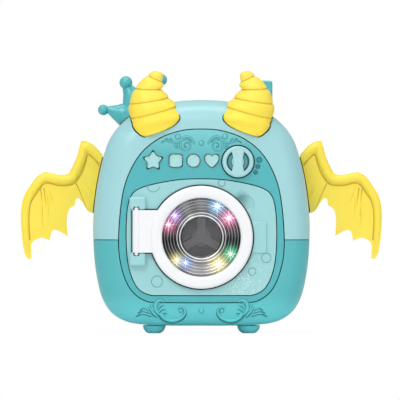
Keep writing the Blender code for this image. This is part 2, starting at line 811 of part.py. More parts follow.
def rear_openings(rear):
    """The rear shell's battery hatch, speaker grille, switch slot and peg holes."""
    half_width = CELL_LENGTH / 2 + CELL_NUB + CONTACT_SPACE
    cut(rear, block("hatch", (-half_width, REAR_Y - WALL - OVERRUN, CELL_LOW_Z - CELL_R),
                    (half_width, REAR_Y + OVERRUN, CELL_HIGH_Z + CELL_R)),
        hatch_tab("tab_way", 0, REAR_Y - WALL - OVERRUN, REAR_Y + OVERRUN))
    for i in range(GRILLE_COUNT):
        z = SPEAKER_Z + (i - (GRILLE_COUNT - 1) / 2) * GRILLE_PITCH
        half = math.sqrt(1 - ((z - SPEAKER_Z) / SPEAKER_R) ** 2) * GRILLE_LENGTH / 2
        cut(rear, block("grille", (SPEAKER_X - half, REAR_Y - WALL - OVERRUN, z - GRILLE_SLOT / 2),
                        (SPEAKER_X + half, REAR_Y + OVERRUN, z + GRILLE_SLOT / 2)))
    cut(rear, block("switch_slot", (POWER_X - POWER_SLOT_W / 2, REAR_Y - WALL - OVERRUN,
                                    POWER_Z - POWER_SLOT_H / 2),
                    (POWER_X + POWER_SLOT_W / 2, REAR_Y + OVERRUN, POWER_Z + POWER_SLOT_H / 2)))
    cut(rear, crown_peg("crown_hole", FIT), box_peg("box_hole", FIT))


# Front panels

def front_fascia():
    """Arched panel that carries the controls, with a ledge for the panel round the door."""
    panel = slab("front_fascia", fascia_outline(), FRONT_Y, FASCIA_BACK_Y)
    ledge_y = PANEL_BACK_Y + FIT
    join(panel, slab("ledge", surround_outline(SURROUND_LEDGE_OUT), FASCIA_BACK_Y - EMBED,
                     ledge_y + LEDGE_T))
    cut(panel, slab("pocket", surround_outline(SEAM), FRONT_Y - OVERRUN, ledge_y),
        slab("opening", surround_outline(-SURROUND_LEDGE), FRONT_Y - OVERRUN,
             ledge_y + LEDGE_T + OVERRUN))
    for name, x, outline in BUTTONS:
        cut(panel, slab("button_hole", outline(FIT), FRONT_Y - OVERRUN, FASCIA_BACK_Y + OVERRUN,
                        place=(x, BUTTON_Z)))
    cut(panel, rod("shaft_hole", KNOB_SHAFT_R + FIT, (KNOB_X, FRONT_Y - OVERRUN, KNOB_Z),
                   (KNOB_X, FASCIA_BACK_Y + OVERRUN, KNOB_Z)))
    for x_share, z_share, r_share in DIMPLE_SHARES:
        place = Vector((KNOB_X + x_share * KNOB_R, 0, KNOB_Z + z_share * KNOB_R))
        radius = r_share * KNOB_R
        cut(panel, rod("dimple", radius, place + Vector((0, FRONT_Y - DIMPLE_DEPTH, 0)),
                       place + Vector((0, FRONT_Y + DIMPLE_DEPTH, 0)), 16, radius / 3))
    for x in (-BOARD_POST_X, BOARD_POST_X):
        join(panel, rod("board_post", BOARD_POST_R, (x, FASCIA_BACK_Y - EMBED, BOARD_POST_Z),
                        (x, BOARD_Y - FIT, BOARD_POST_Z), 16))
    finish(panel, DARK_TEAL)


def ear(name, low_z, high_z):
    """One hinge ear on the panel, with a notch for the door's neck and a hole for the pin."""
    return block(name, (HINGE_X - EAR_WIDTH / 2, PANEL_Y - EAR_PROUD, low_z),
                 (HINGE_X + EAR_WIDTH / 2, PANEL_Y + EMBED, high_z), EAR_ROUND)


def door_surround():
    """Panel round the door with its mouth, hinge ears, latch boss and tub posts."""
    panel = slab("door_surround", surround_outline(), PANEL_Y, PANEL_BACK_Y)
    join(panel, rod("collar", MOUTH_R + COLLAR_T, (0, PANEL_BACK_Y - EMBED, DOOR_Z),
                    (0, COLLAR_BACK_Y, DOOR_Z), 36))
    latch_low = (LATCH_X - LATCH_WIDTH / 2, PANEL_Y - LATCH_PROUD, DOOR_Z - LATCH_HEIGHT / 2)
    latch_high = (LATCH_X + LATCH_WIDTH / 2, PANEL_Y + EMBED, DOOR_Z + LATCH_HEIGHT / 2)
    boss = block("latch_boss", latch_low, latch_high, LATCH_PROUD / 2)
    cut(boss, rod("ring_way", DOOR_R + DOOR_GAP, (0, DOOR_FRONT_Y - OVERRUN, DOOR_Z),
                  (0, PANEL_Y + OVERRUN, DOOR_Z), 64))
    join(panel, boss)
    clear = ((HINGE_LOW_Z - EAR_LENGTH - FIT, HINGE_LOW_Z - FIT),
             (HINGE_HIGH_Z + FIT, HINGE_HIGH_Z + EAR_LENGTH + FIT))
    for low_z, high_z in clear:
        join(panel, ear("ear", low_z, high_z))
    cut(panel, rod("mouth", MOUTH_R, (0, PANEL_Y - OVERRUN, DOOR_Z),
                   (0, COLLAR_BACK_Y - COLLAR_LIP_T, DOOR_Z), 36),
        rod("lip", MOUTH_R - COLLAR_LIP, (0, PANEL_Y - OVERRUN, DOOR_Z),
            (0, COLLAR_BACK_Y + OVERRUN, DOOR_Z), 36),
        rod("neck_way", HINGE_NECK_R + 2 * FIT,
            (HINGE_X, HINGE_Y, HINGE_LOW_Z - HINGE_NECK - 2 * FIT),
            (HINGE_X, HINGE_Y, HINGE_HIGH_Z + HINGE_NECK + 2 * FIT)),
        rod("pin_way", HINGE_PIN_R + RUNNING / 2,
            (HINGE_X, HINGE_Y, HINGE_LOW_Z - EAR_LENGTH + EAR_ROUND),
            (HINGE_X, HINGE_Y, HINGE_HIGH_Z + EAR_LENGTH + OVERRUN)),
        block("tongue_way", (TONGUE_X - TONGUE_W / 2 - TONGUE_GAP, PANEL_Y - OVERRUN,
                             DOOR_Z - TONGUE_H / 2 - TONGUE_GAP),
              (TONGUE_X + TONGUE_W / 2 + TONGUE_GAP, PANEL_BACK_Y + OVERRUN,
               DOOR_Z + TONGUE_H / 2 + TONGUE_GAP)))
    for degrees in TUB_EAR_ANGLES:
        x, z = on_circle(TUB_EAR_CIRCLE_R, degrees)
        join(panel, rod("tub_post", TUB_EAR_R, (x, PANEL_BACK_Y - EMBED, z),
                        (x, TUB_FRONT_Y - FIT, z), 12))
        cut(panel, rod("screw_way", SMALL_SCREW_R + SCREW_GAP, (x, PANEL_BACK_Y, z),
                       (x, TUB_FRONT_Y + OVERRUN, z), 8))
    finish(panel, LIGHT_TEAL)


def on_circle(radius, degrees):
    """X and Z of a point round the drum's axis."""
    angle = math.radians(degrees)
    return radius * math.cos(angle), DOOR_Z + radius * math.sin(angle)


# Door

def door():
    """White ring with its hinge arm, stepped bezel and lens, all on the hinge."""
    depth = DOOR_BACK_Y - DOOR_FRONT_Y
    edge = DOOR_EDGE_R
    seat_r = BEZEL_SEAT_R
    profile = [
        (DOOR_R - edge, depth), (DOOR_R - edge * 0.3, depth - edge * 0.3), (DOOR_R, depth - edge),
        (DOOR_R, 0), (seat_r, 0), (seat_r, BEZEL_SEAT_DEPTH), (DOOR_BORE_R, BEZEL_SEAT_DEPTH),
        (DOOR_BORE_R, depth - edge), (DOOR_BORE_R + edge * 0.3, depth - edge * 0.3),
        (DOOR_BORE_R + edge, depth),
    ]
    ring = turned("door_ring", profile, (0, DOOR_BACK_Y, DOOR_Z), steps=40, closed=True)
    arm_end_x = -(DOOR_R + seat_r) / 2
    join(ring, block("arm", (HINGE_X, HINGE_Y - ARM_T / 2, HINGE_LOW_Z),
                     (arm_end_x, DOOR_BACK_Y, HINGE_HIGH_Z)))
    join(ring, rod("barrel", HINGE_R, (HINGE_X, HINGE_Y, HINGE_LOW_Z),
                   (HINGE_X, HINGE_Y, HINGE_HIGH_Z)))
    join(ring, rod("neck", HINGE_NECK_R, (HINGE_X, HINGE_Y, HINGE_LOW_Z - HINGE_NECK),
                   (HINGE_X, HINGE_Y, HINGE_HIGH_Z + HINGE_NECK)))
    join(ring, block("tongue", (TONGUE_X - TONGUE_W / 2, DOOR_BACK_Y - EMBED,
                                DOOR_Z - TONGUE_H / 2),
                     (TONGUE_X + TONGUE_W / 2, DOOR_BACK_Y + TONGUE_L, DOOR_Z + TONGUE_H / 2)))
    cut(ring, rod("pin_way", HINGE_PIN_R + RUNNING,
                  (HINGE_X, HINGE_Y, HINGE_LOW_Z - HINGE_NECK - OVERRUN),
                  (HINGE_X, HINGE_Y, HINGE_HIGH_Z + HINGE_NECK + OVERRUN)))
    finish(ring, WHITE)

    bezel = turned("chrome_bezel", bezel_profile(), (0, DOOR_BACK_Y, DOOR_Z), steps=32,
                   closed=True)
    finish(bezel, CHROME)

    lens = turned("door_lens", lens_profile(), (0, DOOR_BACK_Y, DOOR_Z), steps=32)
    finish(lens, SMOKE)
    pin = rod("hinge_pin", HINGE_PIN_R, (HINGE_X, HINGE_Y, HINGE_LOW_Z - EAR_LENGTH + EAR_ROUND + FIT),
              (HINGE_X, HINGE_Y, HINGE_HIGH_Z + EAR_LENGTH - EAR_ROUND), 12)
    finish(pin, STEEL)
    carry("door_hinge", (HINGE_X, HINGE_Y, DOOR_Z), (ring, bezel, lens))


def bezel_steps():
    """Radius and height of each step of the bezel, above the door's back face."""
    outer, inner = DOOR_BORE_R - FIT, LENS_R + FIT
    top = BEZEL_SEAT_DEPTH - FIT + BEZEL_STEP / 2
    return [(outer + (inner - outer) * share, top - i * BEZEL_STEP)
            for i, share in enumerate(BEZEL_STEP_SHARES)]


def lens_seat():
    """Height of the lip that the lens sits on, above the door's back face."""
    return bezel_steps()[-2][1] - LENS_T - 2 * FIT


def bezel_profile():
    """Concentric steps that go down towards the lens, and a lip behind the lens."""
    flange_r = BEZEL_SEAT_R - FIT
    top = BEZEL_SEAT_DEPTH - FIT
    slant = BEZEL_STEP / 3
    steps = bezel_steps()
    front = [(flange_r, top), (steps[0][0], top), steps[0]]
    for (_, above), (radius, height) in zip(steps[:-1], steps[1:-1]):
        front += [(radius + slant, above), (radius, height)]
    inner = steps[-1][0]
    seat = lens_seat()
    front += [(inner, steps[-2][1]), (inner, seat), (inner - LENS_LIP, seat),
              (inner - LENS_LIP, seat - BEZEL_T)]
    back = [(inner + BEZEL_T, seat - BEZEL_T), (inner + BEZEL_T, seat),
            (steps[0][0] - BEZEL_T, top - BEZEL_FLANGE_T), (flange_r, top - BEZEL_FLANGE_T)]
    return front + back


def lens_profile():
    """A crowned disc."""
    low = lens_seat() + FIT
    rim = low + LENS_T
    front = []
    for i in range(4):
        share = i / 3
        front.append((LENS_R * share, rim + LENS_CROWN * (1 - share ** 2)))
    return front + [(LENS_R, low), (0, low)]


# Lights

def led_ring():
    """Ring board with eight lights that shine through the bezel."""
    back = 0
    front = LED_BOARD_T
    outer = MOUTH_R - FIT
    profile = [(outer, front), (outer, back), (LED_BOARD_R, back), (LED_BOARD_R, front)]
    back_y = COLLAR_BACK_Y - COLLAR_LIP_T - FIT
    board = turned("led_ring", profile, (0, back_y, DOOR_Z), steps=32, closed=True)
    for degrees in LED_ANGLES:
        x, z = on_circle(LED_CIRCLE_R, degrees)
        face_y = back_y - LED_BOARD_T
        light = rod("light", LED_R, (x, face_y + EMBED, z), (x, face_y - LED_HEIGHT, z), 6,
                    LED_R * 0.6)
        join(board, light)
    finish(board, NATURAL)


# Drum group

def drum_group():
    """Drum, pulsator, shaft and gear, which turn together."""
    outer, inner = DRUM_R, DRUM_R - DRUM_T
    profile = [
        (outer, DRUM_DEPTH), (outer, 0), (SHAFT_R + FIT, 0), (SHAFT_R + FIT, DRUM_T),
        (inner, DRUM_T), (inner, DRUM_DEPTH - DRUM_T), (DRUM_MOUTH_R, DRUM_DEPTH - DRUM_T),
        (DRUM_MOUTH_R, DRUM_DEPTH),
    ]
    drum = turned("drum", profile, (0, DRUM_BACK_Y, DOOR_Z), steps=28, closed=True)
    finish(drum, DARK_GREY)

    pulsator_y = DRUM_BACK_Y - DRUM_T - FIT
    hub = rod("drum_pulsator", PULSATOR_HUB_R, (0, pulsator_y, DOOR_Z),
              (0, pulsator_y - PULSATOR_HEIGHT, DOOR_Z), 24, PULSATOR_WIDTH / 2)
    for degrees in (90, 210, 330):
        join(hub, spoke("spoke", degrees, pulsator_y))
    cut(hub, rod("shaft_way", SHAFT_R + RUNNING, (0, pulsator_y + OVERRUN, DOOR_Z),
                 (0, pulsator_y - PULSATOR_HEIGHT / 2, DOOR_Z), 16))
    finish(hub, GREY)

    shaft_front_y = pulsator_y - PULSATOR_HEIGHT / 2 + FIT
    shaft = rod("drum_shaft", SHAFT_R, (0, shaft_front_y, DOOR_Z),
                (0, PLATE_Y - FIT, DOOR_Z), 16)
    finish(shaft, STEEL)

    gear = gear_piece("drum_gear", GEAR_TEETH, SHAFT_R + RUNNING, (0, DOOR_Z), math.pi / 2)
    finish(gear, NATURAL)
    carry("drum_axis", (0, DRUM_BACK_Y, DOOR_Z), (drum, hub, shaft, gear))


def spoke(name, degrees, back_y):
    """One arm of the pulsator, wide at the back and narrow at its crest."""
    shape = bmesh.new()
    bmesh.ops.create_cube(shape, size=1.0)
    length = PULSATOR_R
    bmesh.ops.scale(shape, vec=(length, PULSATOR_HEIGHT, PULSATOR_WIDTH), verts=shape.verts)
    bmesh.ops.translate(shape, vec=(length / 2, -PULSATOR_HEIGHT / 2, 0), verts=shape.verts)
    for vert in shape.verts:
        if vert.co.y < -PULSATOR_HEIGHT / 2:
            vert.co.z *= 0.7
            if vert.co.x > length / 2:
                vert.co.x -= PULSATOR_HEIGHT
    return from_bmesh(name, shape, (0, back_y, DOOR_Z), (0, -math.radians(degrees), 0))


def involute(angle):
    """The involute function."""
    return math.tan(angle) - angle


def gear_outline(teeth, first):
    """Straight-flanked teeth through four points of an involute; a tooth points to first."""
    pitch_r = GEAR_MODULE * teeth / 2
    base_r = pitch_r * math.cos(math.radians(20))
    tip_r = pitch_r + 0.8 * GEAR_MODULE
    root_r = pitch_r - 1.15 * GEAR_MODULE
    half_pitch = math.pi / (2 * teeth) - GEAR_BACKLASH / pitch_r

    def half_angle(radius):
        pressure = math.acos(min(1.0, base_r / radius))
        return half_pitch + involute(math.radians(20)) - involute(pressure)

    points = []
    for tooth in range(teeth):
        middle = first + math.tau * tooth / teeth
        low, high = half_angle(max(root_r, base_r)), half_angle(tip_r)
        for radius, offset in ((root_r, -low), (tip_r, -high), (tip_r, high), (root_r, low)):
            angle = middle + offset
            points.append(Vector((math.cos(angle), math.sin(angle))) * radius)
    return points


def gear_piece(name, teeth, bore_r, centre, first):
    """A spur gear that faces the front, with its bore."""
    x, z = centre
    gear = slab(name, gear_outline(teeth, first), GEAR_Y, GEAR_Y + GEAR_T, place=centre)
    return cut(gear, rod("bore", bore_r, (x, GEAR_Y - OVERRUN, z),
                         (x, GEAR_Y + GEAR_T + OVERRUN, z), 16))


def tub_group():
    """Fixed tub round the drum with its bush, and the bracket that carries the motor."""
    inner = DRUM_R + TUB_GAP
    outer = inner + TUB_T
    depth = TUB_BACK_Y - TUB_FRONT_Y
    profile = [
        (TUB_FLANGE_R, depth), (TUB_FLANGE_R, depth - TUB_FLANGE_T),
        (outer, depth - TUB_FLANGE_T), (outer, 0), (BUSH_R + FIT, 0), (BUSH_R + FIT, TUB_T),
        (inner, TUB_T), (inner, depth),
    ]
    tub = turned("drum_tub", profile, (0, TUB_BACK_Y, DOOR_Z), steps=28, closed=True)
    for degrees in TUB_EAR_ANGLES:
        x, z = on_circle(TUB_EAR_CIRCLE_R, degrees)
        root_x, root_z = on_circle(TUB_FLANGE_R - TUB_EAR_R, degrees)
        join(tub, ear_plate(x, z, root_x, root_z))
        cut(tub, rod("screw_way", SMALL_SCREW_R + SCREW_GAP, (x, TUB_FRONT_Y - OVERRUN, z),
                     (x, TUB_FRONT_Y + TUB_FLANGE_T + OVERRUN, z), 8))
    for x, z in bracket_posts():
        cut(tub, rod("pin_hole", BRACKET_PIN_R + FIT / 2, (x, TUB_BACK_Y - TUB_T - OVERRUN, z),
                     (x, TUB_BACK_Y + OVERRUN, z), 8))
    finish(tub, NATURAL)

    for i, degrees in enumerate(TUB_EAR_ANGLES, 1):
        x, z = on_circle(TUB_EAR_CIRCLE_R, degrees)
        screw("tub_screw_%d" % i, (x, TUB_FRONT_Y + TUB_FLANGE_T + FIT, z), SMALL_SCREW_R,
              SMALL_SCREW_HEAD_R, SMALL_SCREW_HEAD_T, TUB_FLANGE_T + COLLAR_DEPTH / 2)

    length = BUSH_LENGTH
    bush_profile = [
        (BUSH_R, length), (BUSH_R, 0), (BUSH_FLANGE_R, 0), (BUSH_FLANGE_R, -BUSH_FLANGE_T),
        (SHAFT_R + RUNNING, -BUSH_FLANGE_T), (SHAFT_R + RUNNING, length),
    ]
    bush_y = TUB_BACK_Y + FIT
    bush = turned("shaft_bush", bush_profile, (0, bush_y, DOOR_Z), steps=24, closed=True)
    finish(bush, BRASS)


def bracket_posts():
    """Where the bracket's posts stand on the tub's back."""
    return [(x, DOOR_Z + z) for x in (-BRACKET_POST_X, BRACKET_POST_X)
            for z in (-BRACKET_POST_X, BRACKET_POST_X)]


def ear_plate(x, z, root_x, root_z):
    """A round-ended lug on the tub's flange."""
    along = Vector((x - root_x, z - root_z))
    angle = math.atan2(along.y, along.x)
    points = []
    for i in range(7):
        turn = angle - math.pi / 2 + math.pi * i / 6
        points.append(Vector((x, z)) + Vector((math.cos(turn), math.sin(turn))) * TUB_EAR_R)
    for i in range(2):
        turn = angle + math.pi / 2 + math.pi * i
        points.append(Vector((root_x, root_z))
                      + Vector((math.cos(turn), math.sin(turn))) * TUB_EAR_R)
    return slab("lug", points, TUB_FRONT_Y, TUB_FRONT_Y + TUB_FLANGE_T)


def screw(name, seat, radius, head_r, head_t, length):
    """A cross-head screw driven from behind; seat is where its head bears."""
    x, y, z = seat
    profile = [
        (0, head_t), (head_r * 0.7, head_t), (head_r, head_t * 0.5), (head_r, 0), (radius, 0),
        (radius, -length), (0, -length),
    ]
    piece = turned(name, profile, (x, y, z), (-math.pi / 2, 0, 0), 10)
    return finish(piece, STEEL)


def motor_group():
    """Bracket plate on four posts, motor, and the pinion with its shaft."""
    low_z = DOOR_Z - GEAR_CENTRES - BRACKET_POST_R
    high_z = MOTOR_Z + MOTOR_R + BRACKET_POST_R
    half = BRACKET_HALF_W
    bracket = block("motor_bracket", (-half, PLATE_Y, low_z), (half, PLATE_Y + BRACKET_T, high_z))
    for x, z in bracket_posts():
        join(bracket, rod("post", BRACKET_POST_R, (x, TUB_BACK_Y + FIT, z),
                          (x, PLATE_Y + EMBED, z), 12))
        join(bracket, rod("pin", BRACKET_PIN_R, (x, TUB_BACK_Y - TUB_T, z),
                          (x, TUB_BACK_Y + FIT + EMBED, z), 8))
    cut(bracket, rod("boss_way", MOTOR_BOSS_R + FIT, (0, PLATE_Y - OVERRUN, MOTOR_Z),
                     (0, PLATE_Y + BRACKET_T + OVERRUN, MOTOR_Z)))
    finish(bracket, NATURAL)

    back_y = PLATE_Y + BRACKET_T + FIT
    round_r = MOTOR_ROUND
    profile = [
        (0, BRACKET_T), (MOTOR_BOSS_R, BRACKET_T), (MOTOR_BOSS_R, 0), (MOTOR_R - round_r, 0),
        (MOTOR_R, -round_r), (MOTOR_R, -MOTOR_LENGTH + round_r),
        (MOTOR_R - round_r, -MOTOR_LENGTH), (0, -MOTOR_LENGTH),
    ]
    motor = turned("motor", profile, (0, back_y, MOTOR_Z), steps=16)
    shaft_end_y = back_y + MOTOR_LENGTH / 2
    cut(motor, rod("bore", MOTOR_SHAFT_R + RUNNING, (0, back_y - BRACKET_T - OVERRUN, MOTOR_Z),
                   (0, shaft_end_y, MOTOR_Z), 12))
    finish(motor, STEEL)
    first = -math.pi / 2 + math.pi / PINION_TEETH
    pinion = slab("motor_pinion", gear_outline(PINION_TEETH, first), GEAR_Y, GEAR_Y + GEAR_T,
                  place=(0, MOTOR_Z))
    join(pinion, rod("shaft", MOTOR_SHAFT_R, (0, GEAR_Y + GEAR_T / 2, MOTOR_Z),
                     (0, shaft_end_y - FIT, MOTOR_Z), 12))
    finish(pinion, BRASS)


# Controls

def button(name, x, outline):
    """A button cap with a flange behind the panel and a stem down to its switch."""
    front_y = FRONT_Y - BUTTON_PROUD
    flange_y = FASCIA_BACK_Y + FIT
    piece = slab(name, outline(), front_y, flange_y + BUTTON_FLANGE_T / 2, BUTTON_ROUND,
                 place=(x, BUTTON_Z))
    join(piece, rod("flange", BUTTON_FLANGE_R, (x, flange_y, BUTTON_Z),
                    (x, flange_y + BUTTON_FLANGE_T, BUTTON_Z), 20))
    join(piece, rod("stem", BUTTON_STEM_R, (x, flange_y + BUTTON_FLANGE_T / 2, BUTTON_Z),
                    (x, button_stem_y(), BUTTON_Z), 12))
    finish(piece, LIGHT_TEAL)


def button_stem_y():
    """How deep a button's stem reaches at rest."""
    return BOARD_Y - SWITCH_T - BUTTON_TRAVEL - FIT


def knob():
    """Ring, hub and grip bar with two crescent windows, on a shaft."""
    front_y = FRONT_Y - KNOB_PROUD
    back_y = FRONT_Y - KNOB_GAP
    depth = back_y - front_y
    chamfer = KNOB_CHAMFER
    profile = [
        (KNOB_R - chamfer, depth), (KNOB_R, depth - chamfer), (KNOB_R, 0), (KNOB_RING_R, 0),
        (KNOB_RING_R, depth - chamfer), (KNOB_RING_R + chamfer, depth),
    ]
    ring = turned("program_knob", profile, (KNOB_X, back_y, KNOB_Z), steps=28, closed=True)
    flare, waist = KNOB_FLARE / 2, KNOB_BAR / 2
    length = (KNOB_RING_R + KNOB_R) / 2
    bar_half = [Vector((flare, length)), Vector((waist * KNOB_SWELL_SHARE, length / 2)), Vector((waist, 0)),
                Vector((waist * KNOB_SWELL_SHARE, -length / 2)), Vector((flare, -length))]
    bar = bar_half + [Vector((-point.x, point.y)) for point in reversed(bar_half)]
    join(ring, slab("bar", bar, front_y + chamfer, back_y - EMBED / 2, place=(KNOB_X, KNOB_Z)))
    join(ring, rod("hub", KNOB_HUB_R, (KNOB_X, front_y + depth / 2, KNOB_Z),
                   (KNOB_X, back_y - EMBED / 4, KNOB_Z)))
    join(ring, rod("shaft", KNOB_SHAFT_R, (KNOB_X, front_y + depth / 2, KNOB_Z),
                   (KNOB_X, BOARD_Y - 2 * FIT, KNOB_Z)))
    finish(ring, LIGHT_TEAL)


def board_group():
    """Control board with its four push switches, and the rotary switch on it."""
    half = BOARD_WIDTH / 2
    outline = [Vector((-half, BOARD_LOW_Z)), Vector((half, BOARD_LOW_Z)),
               Vector((half, BOARD_POST_Z + BOARD_POST_R * 2)),
               Vector((half * 0.68, BOARD_HIGH_Z)), Vector((-half * 0.68, BOARD_HIGH_Z)),
               Vector((-half, BOARD_POST_Z + BOARD_POST_R * 2))]
    board = slab("control_board", outline, BOARD_Y, BOARD_Y + BOARD_T)
    for name, x, shape in BUTTONS:
        side = SWITCH_SIDE / 2
        join(board, block("switch", (x - side, BOARD_Y - SWITCH_T, BUTTON_Z - side),
                          (x + side, BOARD_Y + EMBED, BUTTON_Z + side)))
    finish(board, BOARD_GREEN)

    front_y = FASCIA_BACK_Y + 2 * FIT + BUTTON_FLANGE_T
    depth = BOARD_Y - FIT - front_y
    profile = [(ROTARY_R, depth), (ROTARY_R, 0), (KNOB_SHAFT_R + RUNNING, 0),
               (KNOB_SHAFT_R + RUNNING, depth)]
    rotary = turned("rotary_switch", profile, (KNOB_X, BOARD_Y - FIT, KNOB_Z), steps=24,
                    closed=True)
    finish(rotary, BLACK)


# Back

def battery_group():
    """Battery box, three cells, two contact plates, and the hatch with its screw."""
    half_width = CELL_LENGTH / 2 + CELL_NUB + CONTACT_SPACE
    low_z, high_z = CELL_LOW_Z - CELL_R, CELL_HIGH_Z + CELL_R
    back_y = REAR_INNER_Y - FIT
    front_y = CELL_Y - CELL_R - FIT - BATTERY_WALL
    wall = BATTERY_WALL
    box = block("battery_box", (-half_width - wall, front_y, low_z - wall),
                (half_width + wall, back_y, high_z + wall))
    cut(box, block("inside", (-half_width, front_y + wall, low_z - FIT),
                   (half_width, back_y + OVERRUN, high_z + FIT)))
    screw_z = hatch_screw_z()
    join(box, rod("boss", HATCH_BOSS_R, (0, back_y - HATCH_BOSS_L, screw_z),
                  (0, back_y, screw_z), 16))
    cut(box, rod("bite", SMALL_SCREW_R + SCREW_GAP, (0, back_y - HATCH_SCREW_L - FIT, screw_z),
                 (0, back_y + OVERRUN, screw_z), 8))
    finish(box, DARK_TEAL)

    for i in range(CELL_COUNT):
        side = 1 if i % 2 == 0 else -1
        z = CELL_LOW_Z + i * CELL_PITCH
        half = CELL_LENGTH / 2
        profile = [(0, half + CELL_NUB), (CELL_NUB_R, half + CELL_NUB), (CELL_NUB_R, half),
                   (CELL_R - FIT, half), (CELL_R - FIT, -half), (0, -half)]
        cell = turned("battery_%d" % (i + 1), profile, (0, CELL_Y, z),
                      (0, side * math.pi / 2, 0), 16)
        finish(cell, CELL_SHEATH)

    for side, name in ((-1, "contacts_left"), (1, "contacts_right")):
        outer_x = side * (half_width - FIT)
        plate_x = side * (half_width - FIT - CONTACT_T)
        half = CONTACT_WIDTH / 2
        plate = block(name, (min(outer_x, plate_x), CELL_Y - half, CELL_LOW_Z - half),
                      (max(outer_x, plate_x), CELL_Y + half, CELL_HIGH_Z + half))
        for i in range(CELL_COUNT):
            z = CELL_LOW_Z + i * CELL_PITCH
            nub = CELL_NUB if (side > 0) == (i % 2 == 0) else 0
            end_x = side * (CELL_LENGTH / 2 + nub + FIT)
            join(plate, rod("bump", CONTACT_BUMP_R, ((plate_x + outer_x) / 2, CELL_Y, z),
                            (end_x, CELL_Y, z), 12, CONTACT_BUMP_R * 0.7))
        finish(plate, STEEL)

    hatch = block("battery_door", (-half_width + SEAM, REAR_Y - DOOR_PLATE_T, low_z + SEAM),
                  (half_width - SEAM, REAR_Y, high_z - SEAM))
    join(hatch, hatch_tab("tab", -SEAM, REAR_Y - DOOR_PLATE_T, REAR_Y))
    seat_y = REAR_Y - SMALL_SCREW_HEAD_T
    cut(hatch, rod("sink", SMALL_SCREW_HEAD_R + FIT, (0, seat_y - FIT, screw_z),
                   (0, REAR_Y + OVERRUN, screw_z), 12),
        rod("way", SMALL_SCREW_R + SCREW_GAP, (0, seat_y - OVERRUN, screw_z),
            (0, REAR_Y + OVERRUN, screw_z), 8))
    finish(hatch, DARK_TEAL)
    screw("battery_door_screw", (0, seat_y, screw_z), SMALL_SCREW_R, SMALL_SCREW_HEAD_R,
          SMALL_SCREW_HEAD_T, HATCH_SCREW_L)


def hatch_screw_z():
    """Height of the battery door's screw, in the tab over the hatch."""
    return CELL_HIGH_Z + CELL_R + HATCH_TAB_H / 2


def hatch_tab(name, grow, front_y, back_y):
    """The tab on top of the battery door, or with grow zero the way cut for it."""
    half = HATCH_TAB_W / 2 + grow
    low_z = CELL_HIGH_Z + CELL_R - HATCH_TAB_H / 2
    top_z = CELL_HIGH_Z + CELL_R + HATCH_TAB_H + grow
    return block(name, (-half, front_y, low_z), (half, back_y, top_z))


def wire(name, start, start_way, end, end_way):
    """A wire that leaves both of its ends squarely."""
    start, end = Vector(start), Vector(end)
    first, last = start + Vector(start_way) * WIRE_BOW, end + Vector(end_way) * WIRE_BOW
    points = []
    for i in range(WIRE_POINTS):
        t = i / (WIRE_POINTS - 1)
        points.append(start * (1 - t) ** 3 + first * 3 * t * (1 - t) ** 2
                      + last * 3 * t * t * (1 - t) + end * t ** 3)
    finish(tube(name, points, WIRE_R, resolution=1), BLACK, 70)


def wires():
    """Leads from the battery box through the power switch to the board, motor and speaker."""
    box_top = CELL_HIGH_Z + CELL_R + BATTERY_WALL + FIT
    switch_y = REAR_INNER_Y - FIT - POWER_BODY_D / 2
    board_y = BOARD_Y + BOARD_T + FIT
    half = POWER_BODY_H / 2 + FIT
    up, down, back, front = (0, 0, 1), (0, 0, -1), (0, 1, 0), (0, -1, 0)
    wire("battery_wire", (CELL_LENGTH / 2, CELL_Y, box_top), up,
         (POWER_X, switch_y, POWER_Z - half), down)
    wire("switch_wire", (POWER_X, switch_y, POWER_Z + half), up, (POWER_X, board_y, BUTTON_Z), back)
    motor_y = PLATE_Y + BRACKET_T + FIT + MOTOR_LENGTH / 2
    wire("motor_wire", (0, motor_y, MOTOR_Z + MOTOR_R + FIT), up, (0, board_y, BUTTON_Z), back)
    magnet_y = REAR_INNER_Y - FIT - SPEAKER_DEPTH - FIT
    wire("speaker_wire", (SPEAKER_X, magnet_y, SPEAKER_Z), front,
         (SPEAKER_X, board_y, BUTTON_Z), back)


def speaker():
    """Speaker behind the rear grille."""
    profile = [
        (0, SPEAKER_DEPTH), (SPEAKER_MAGNET_R, SPEAKER_DEPTH),
        (SPEAKER_MAGNET_R, SPEAKER_FRAME_T * 2), (SPEAKER_R, SPEAKER_FRAME_T), (SPEAKER_R, 0),
        (SPEAKER_R * 0.85, 0), (SPEAKER_R * 0.3, SPEAKER_FRAME_T * 1.5),
        (0, SPEAKER_FRAME_T * 1.5),
    ]
    piece = turned("speaker", profile, (SPEAKER_X, REAR_INNER_Y - FIT, SPEAKER_Z), steps=24)
    finish(piece, BLACK)


def power_switch():
    """Slide switch behind the rear slot; its slider moves along X."""
    back_y = REAR_INNER_Y - FIT
    body = block("power_switch", (POWER_X - POWER_BODY_W / 2, back_y - POWER_BODY_D,
                                  POWER_Z - POWER_BODY_H / 2),
                 (POWER_X + POWER_BODY_W / 2, back_y, POWER_Z + POWER_BODY_H / 2))
    slot_half = POWER_NUB_W / 2 + POWER_TRAVEL / 2 + FIT
    nub_half_h = POWER_SLOT_H / 2 - FIT
    cut(body, block("slot", (POWER_X - slot_half, back_y - POWER_BODY_D * 0.6,
                             POWER_Z - nub_half_h - FIT),
                    (POWER_X + slot_half, back_y + OVERRUN, POWER_Z + nub_half_h + FIT)))
    finish(body, BLACK)
    rest_x = POWER_X - POWER_TRAVEL / 2
    slider = block("power_slider", (rest_x - POWER_NUB_W / 2, back_y - POWER_BODY_D * 0.6 + FIT,
                                    POWER_Z - nub_half_h),
                   (rest_x + POWER_NUB_W / 2, REAR_Y - FIT, POWER_Z + nub_half_h))
    finish(slider, BLACK)


